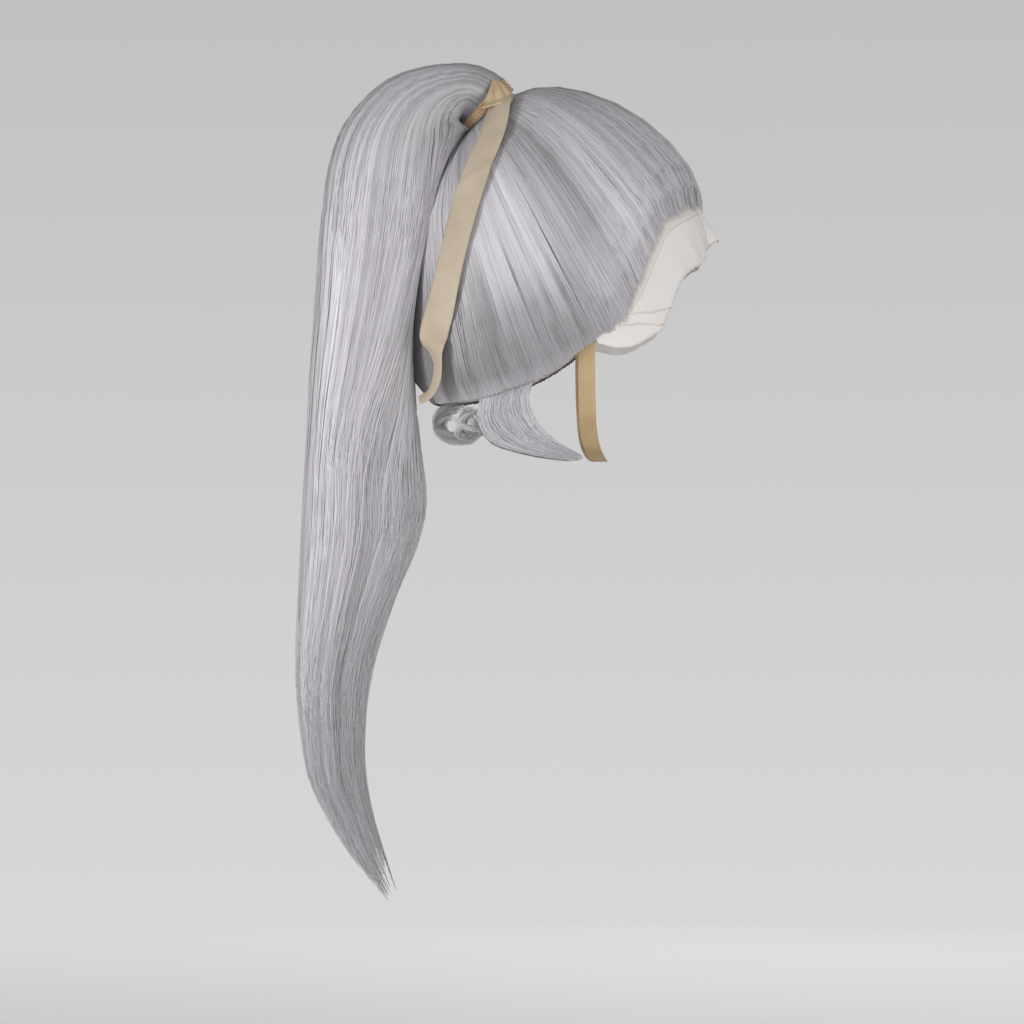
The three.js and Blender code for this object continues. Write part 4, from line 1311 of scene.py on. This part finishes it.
RIBBON_TAIL_COLOURS = (0.45, 0.36, 0.26), (0.59, 0.495, 0.385)
BAND_COLOURS = (0.42, 0.27, 0.15), (0.62, 0.46, 0.28)
KNOT_COLOURS = (0.48, 0.36, 0.20), (0.68, 0.56, 0.36)
RIBBON_ROUGHNESS = 0.6
ribbon_tail_cloth = woven_material("ribbon_tail_weave", 40, 440, *RIBBON_TAIL_COLOURS, RIBBON_ROUGHNESS)
ribbon_band_cloth = woven_material("ribbon_band_weave", 460, 40, *BAND_COLOURS, RIBBON_ROUGHNESS)
ribbon_knot_cloth = woven_material("ribbon_knot_weave", 40, 60, *KNOT_COLOURS, RIBBON_ROUGHNESS)
print("ribbon finishes:", ribbon_tail_cloth.name, ribbon_band_cloth.name, ribbon_knot_cloth.name)

# %% Wind the band
RIBBON_WALL = 0.35
BAND_GRID = (200, 20)
BAND_TURNS, BAND_LAYER = 2.1, 0.7
BAND_WIDTH, BAND_TAPER, BAND_TILT = 9.0, 0.28, 1.6
BAND_PLEATS, BAND_SLANT = 3, 0.3
BAND_PLEAT_DEPTH, BAND_PLEAT_CHANGE, BAND_PLEAT_CHANGES = 1.1, 0.25, 5
BAND_WANDER, BAND_WANDERS = 0.4, 2.3
BAND_START = np.radians(-59)
BAND_REST = 0.8

# The waves in the pleats' lines: their size, their number in a turn, and where they start.
PLEAT_WAVES = [(0.16, 3, 1), (0.1, 7, 0)]


def band_place(across, along):
    angle = BAND_START + 2 * np.pi * BAND_TURNS * across
    slide = BAND_SLANT * angle
    for size, count, start in PLEAT_WAVES:
        slide = slide + size * np.sin(count * angle + start)
    pleat = np.abs((along * BAND_PLEATS + slide) % 1 - 0.5) * 2
    pleat_depth = BAND_PLEAT_DEPTH * (1 - BAND_PLEAT_CHANGE * (1 - np.sin(BAND_PLEAT_CHANGES * angle)))
    radius = tie_radius(angle) + BAND_REST + BAND_LAYER * across * BAND_TURNS + pleat_depth * pleat
    width = BAND_WIDTH * (1 - BAND_TAPER + BAND_TAPER * np.cos(angle))
    height = (along - 0.5) * width + BAND_TILT * (np.cos(angle) - 0.5)
    return by_tie(angle, radius, height + BAND_WANDER * np.sin(BAND_WANDERS * angle))


ribbon_band = grid_piece("ribbon_band", BAND_GRID, band_place, (ribbon_band_cloth,), thickness=RIBBON_WALL)

# %% Fold the knot
# The knot's back and front edge in the side view, x and z, and its y, from its apex to the lip over the
# ribbon's tail.
KNOT_ROWS = np.array(
    [
        (-33, 9.5, -30, 10, -15.5),
        (-34, 5, -25.5, 7, -20.5),
        (-36, -0.5, -21.5, 2.5, -26),
        (-38, -6, -19.8, -2, -31.5),
        (-39, -9.4, -20.3, -4.6, -38),
        (-38.6, -9.8, -20.6, -5, -36.5),
    ]
)
KNOT_GRID = (48, 40)
KNOT_SWAY, KNOT_SWAYS = 0.05, 7
KNOT_FOLD_START, KNOT_FOLD_END = 0.1, 0.85
KNOT_CRUMPLE, KNOT_CRUMPLES_ALONG, KNOT_CRUMPLES_ACROSS = 0.25, 15, 5

# The folds that run from the apex to the lip: their shares of the way across, and how far each stands out.
KNOT_FOLDS = np.array(
    [(0, -2.2), (0.2, 0.5), (0.36, -0.6), (0.58, 1.1), (0.76, -0.4), (0.88, 0.3), (1, -2.4)]
)


def knot_place(across, along):
    rows = smooth_rows(KNOT_ROWS, along)
    edge = mix(rows[:, 0:2], rows[:, 2:4], across[:, None])
    folds = np.interp(across + KNOT_SWAY * np.sin(KNOT_SWAYS * along), KNOT_FOLDS[:, 0], KNOT_FOLDS[:, 1])
    out = folds * np.sin(np.pi * np.clip(along, KNOT_FOLD_START, KNOT_FOLD_END))
    out = out + KNOT_CRUMPLE * np.sin(KNOT_CRUMPLES_ALONG * along + KNOT_CRUMPLES_ACROSS * across)
    return np.stack([edge[:, 0], rows[:, 4] - out, edge[:, 1]], axis=-1)


ribbon_knot = grid_piece("ribbon_knot", KNOT_GRID, knot_place, (ribbon_knot_cloth,), thickness=RIBBON_WALL)

# %% Hang the ribbon's tail
# The middle line on the wearer's right, the width, and the turn on edge in degrees.
RIBBON_TAIL_ROWS = np.array(
    [
        (-27.6, -28.5, -2.8, 16, 0),
        (-29.5, -39.5, -8.6, 19, 0),
        (-33, -55.5, -25, 20, 0),
        (-40.8, -63.2, -44, 20, 0),
        (-49.3, -68.6, -70, 20, 0),
        (-57.6, -68.3, -101, 20, 0),
        (-65, -63.4, -134, 19.5, 0),
        (-69, -61, -152, 18, 0),
        (-68, -60, -161, 13.5, 34),
        (-67, -59.5, -169, 11, 46),
        (-68.3, -58.5, -179, 10.5, 48),
        (-72, -57, -186, 10.5, 48),
        (-78, -55.5, -189.5, 9, 48),
    ]
)
RIBBON_TAIL_GRID = (20, 150)
HANGING_FREE, FREE_START = 0.65, (0.4, 0.2)
RIBBON_CUP = 0.9
RIBBON_RIPPLE, RIBBON_RIPPLES_ALONG, RIBBON_RIPPLES_ACROSS = 0.35, 23, 3
CREASE_HEIGHT, CREASE_PLACE, CREASE_SLANT, CREASE_WIDTH = 0.8, 0.28, 0.05, 0.012
TANGENT_STEP = 1e-3


def strip_line(rows, along):
    """A strip's middle line at shares of its length, and the way that it runs there."""
    ahead = smooth_rows(rows, along + TANGENT_STEP)
    behind = smooth_rows(rows, along - TANGENT_STEP)
    return smooth_rows(rows, along), unit(ahead - behind)


def turned(ways, axis, angle):
    """Ways turned about an axis that they are square to."""
    return ways * np.cos(angle)[:, None] + np.cross(axis, ways) * np.sin(angle)[:, None]


def ribbon_tail_place(across, along):
    middle, tangent = strip_line(RIBBON_TAIL_ROWS[:, 0:3], along)
    width, twist = np.moveaxis(smooth_rows(RIBBON_TAIL_ROWS[:, 3:5], along), -1, 0)
    free = HANGING_FREE * soft_step(along, *FREE_START)
    out = mix(skin_normal(middle), -LEFT, free[:, None])
    out = unit(out - np.sum(out * tangent, axis=-1, keepdims=True) * tangent)
    out = turned(out, tangent, np.radians(twist))
    sideways = np.cross(tangent, out)
    w = across - 0.5
    ripple = RIBBON_RIPPLE * np.sin(RIBBON_RIPPLES_ALONG * along + RIBBON_RIPPLES_ACROSS * w)
    crease = CREASE_HEIGHT * bell(along - CREASE_SLANT * w, CREASE_PLACE, CREASE_WIDTH)
    rise = ripple + crease - RIBBON_CUP * (2 * w) ** 2
    return middle + sideways * (w * width)[:, None] + out * rise[:, None]


ribbon_tail = grid_piece(
    "ribbon_tail", RIBBON_TAIL_GRID, ribbon_tail_place, (ribbon_tail_cloth,), thickness=RIBBON_WALL
)

# %% [markdown]
# ## The chin strap
# A flat ribbed elastic, 10 mm wide, is sewn inside the cap at both sides and runs under the chin. Ribs along
# its length are part of the grid's shape, so they show in the mesh too.

# %% Make the chin strap
STRAP_WIDTH, STRAP_WALL = 10.0, 0.6
STRAP_RIBS, STRAP_RIB_DEPTH = 6, 0.1
STRAP_GRID = (36, 80)
STRAP_SIDE = np.array(
    [
        (25, -69.9, -141),
        (25, -69, -154),
        (25, -66.5, -175),
        (25.5, -61, -195),
        (26.5, -54, -209),
        (28.5, -45, -218),
        (31, -33, -223.5),
        (33, -17, -226),
        (34, 0, -226.7),
    ]
)
FORWARDS = np.array((1, 0, 0), float)
strap_rows = np.concatenate([STRAP_SIDE, STRAP_SIDE[-2::-1] * (1, -1, 1)])


def strap_place(across, along):
    middle, tangent = strip_line(strap_rows, along)
    sideways = unit(FORWARDS - (tangent @ FORWARDS)[:, None] * tangent)
    through = np.cross(sideways, tangent)
    ribs = STRAP_RIB_DEPTH * np.cos(2 * np.pi * STRAP_RIBS * across)
    return middle + sideways * ((across - 0.5) * STRAP_WIDTH)[:, None] + through * ribs[:, None]


elastic = woven_material("ribbed_elastic", 12, 700, (0.43, 0.30, 0.16), (0.59, 0.44, 0.24), 0.75)
chin_elastic = grid_piece("chin_elastic", STRAP_GRID, strap_place, (elastic,), thickness=STRAP_WALL)

# %% [markdown]
# ## Tie the pieces to the frame
# Every piece rides on the one body and stands for the solid that it covers, which is hidden.

# %% Ride and replace
standing = [(hair_cap, "combed_hair", "hair"), (tail_core, "ponytail", "hair")]
standing += [(piece, "combed_hair", "hair") for piece in combed]
standing += [(piece, "ponytail", "hair") for piece in tail]
standing += [(piece, node, "hair") for node, piece in locks.items()]
standing += [
    (lace_panel, "lace_front", "lace"),
    (ribbon_band, "tie_band", "ribbon"),
    (ribbon_knot, "tie_band", "ribbon"),
    (ribbon_tail, "tie_tail", "ribbon"),
    (chin_elastic, "chin_strap", "strap"),
]
for piece, node, slot in standing:
    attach(piece, "root")
    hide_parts(node)

print(len(standing), "pieces on the frame")

# %% Print the sizes
boxes = {"cad": cad_box, "visual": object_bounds()}
for name, box in boxes.items():
    print(name, "box", [[round(n, 4) for n in corner] for corner in box])
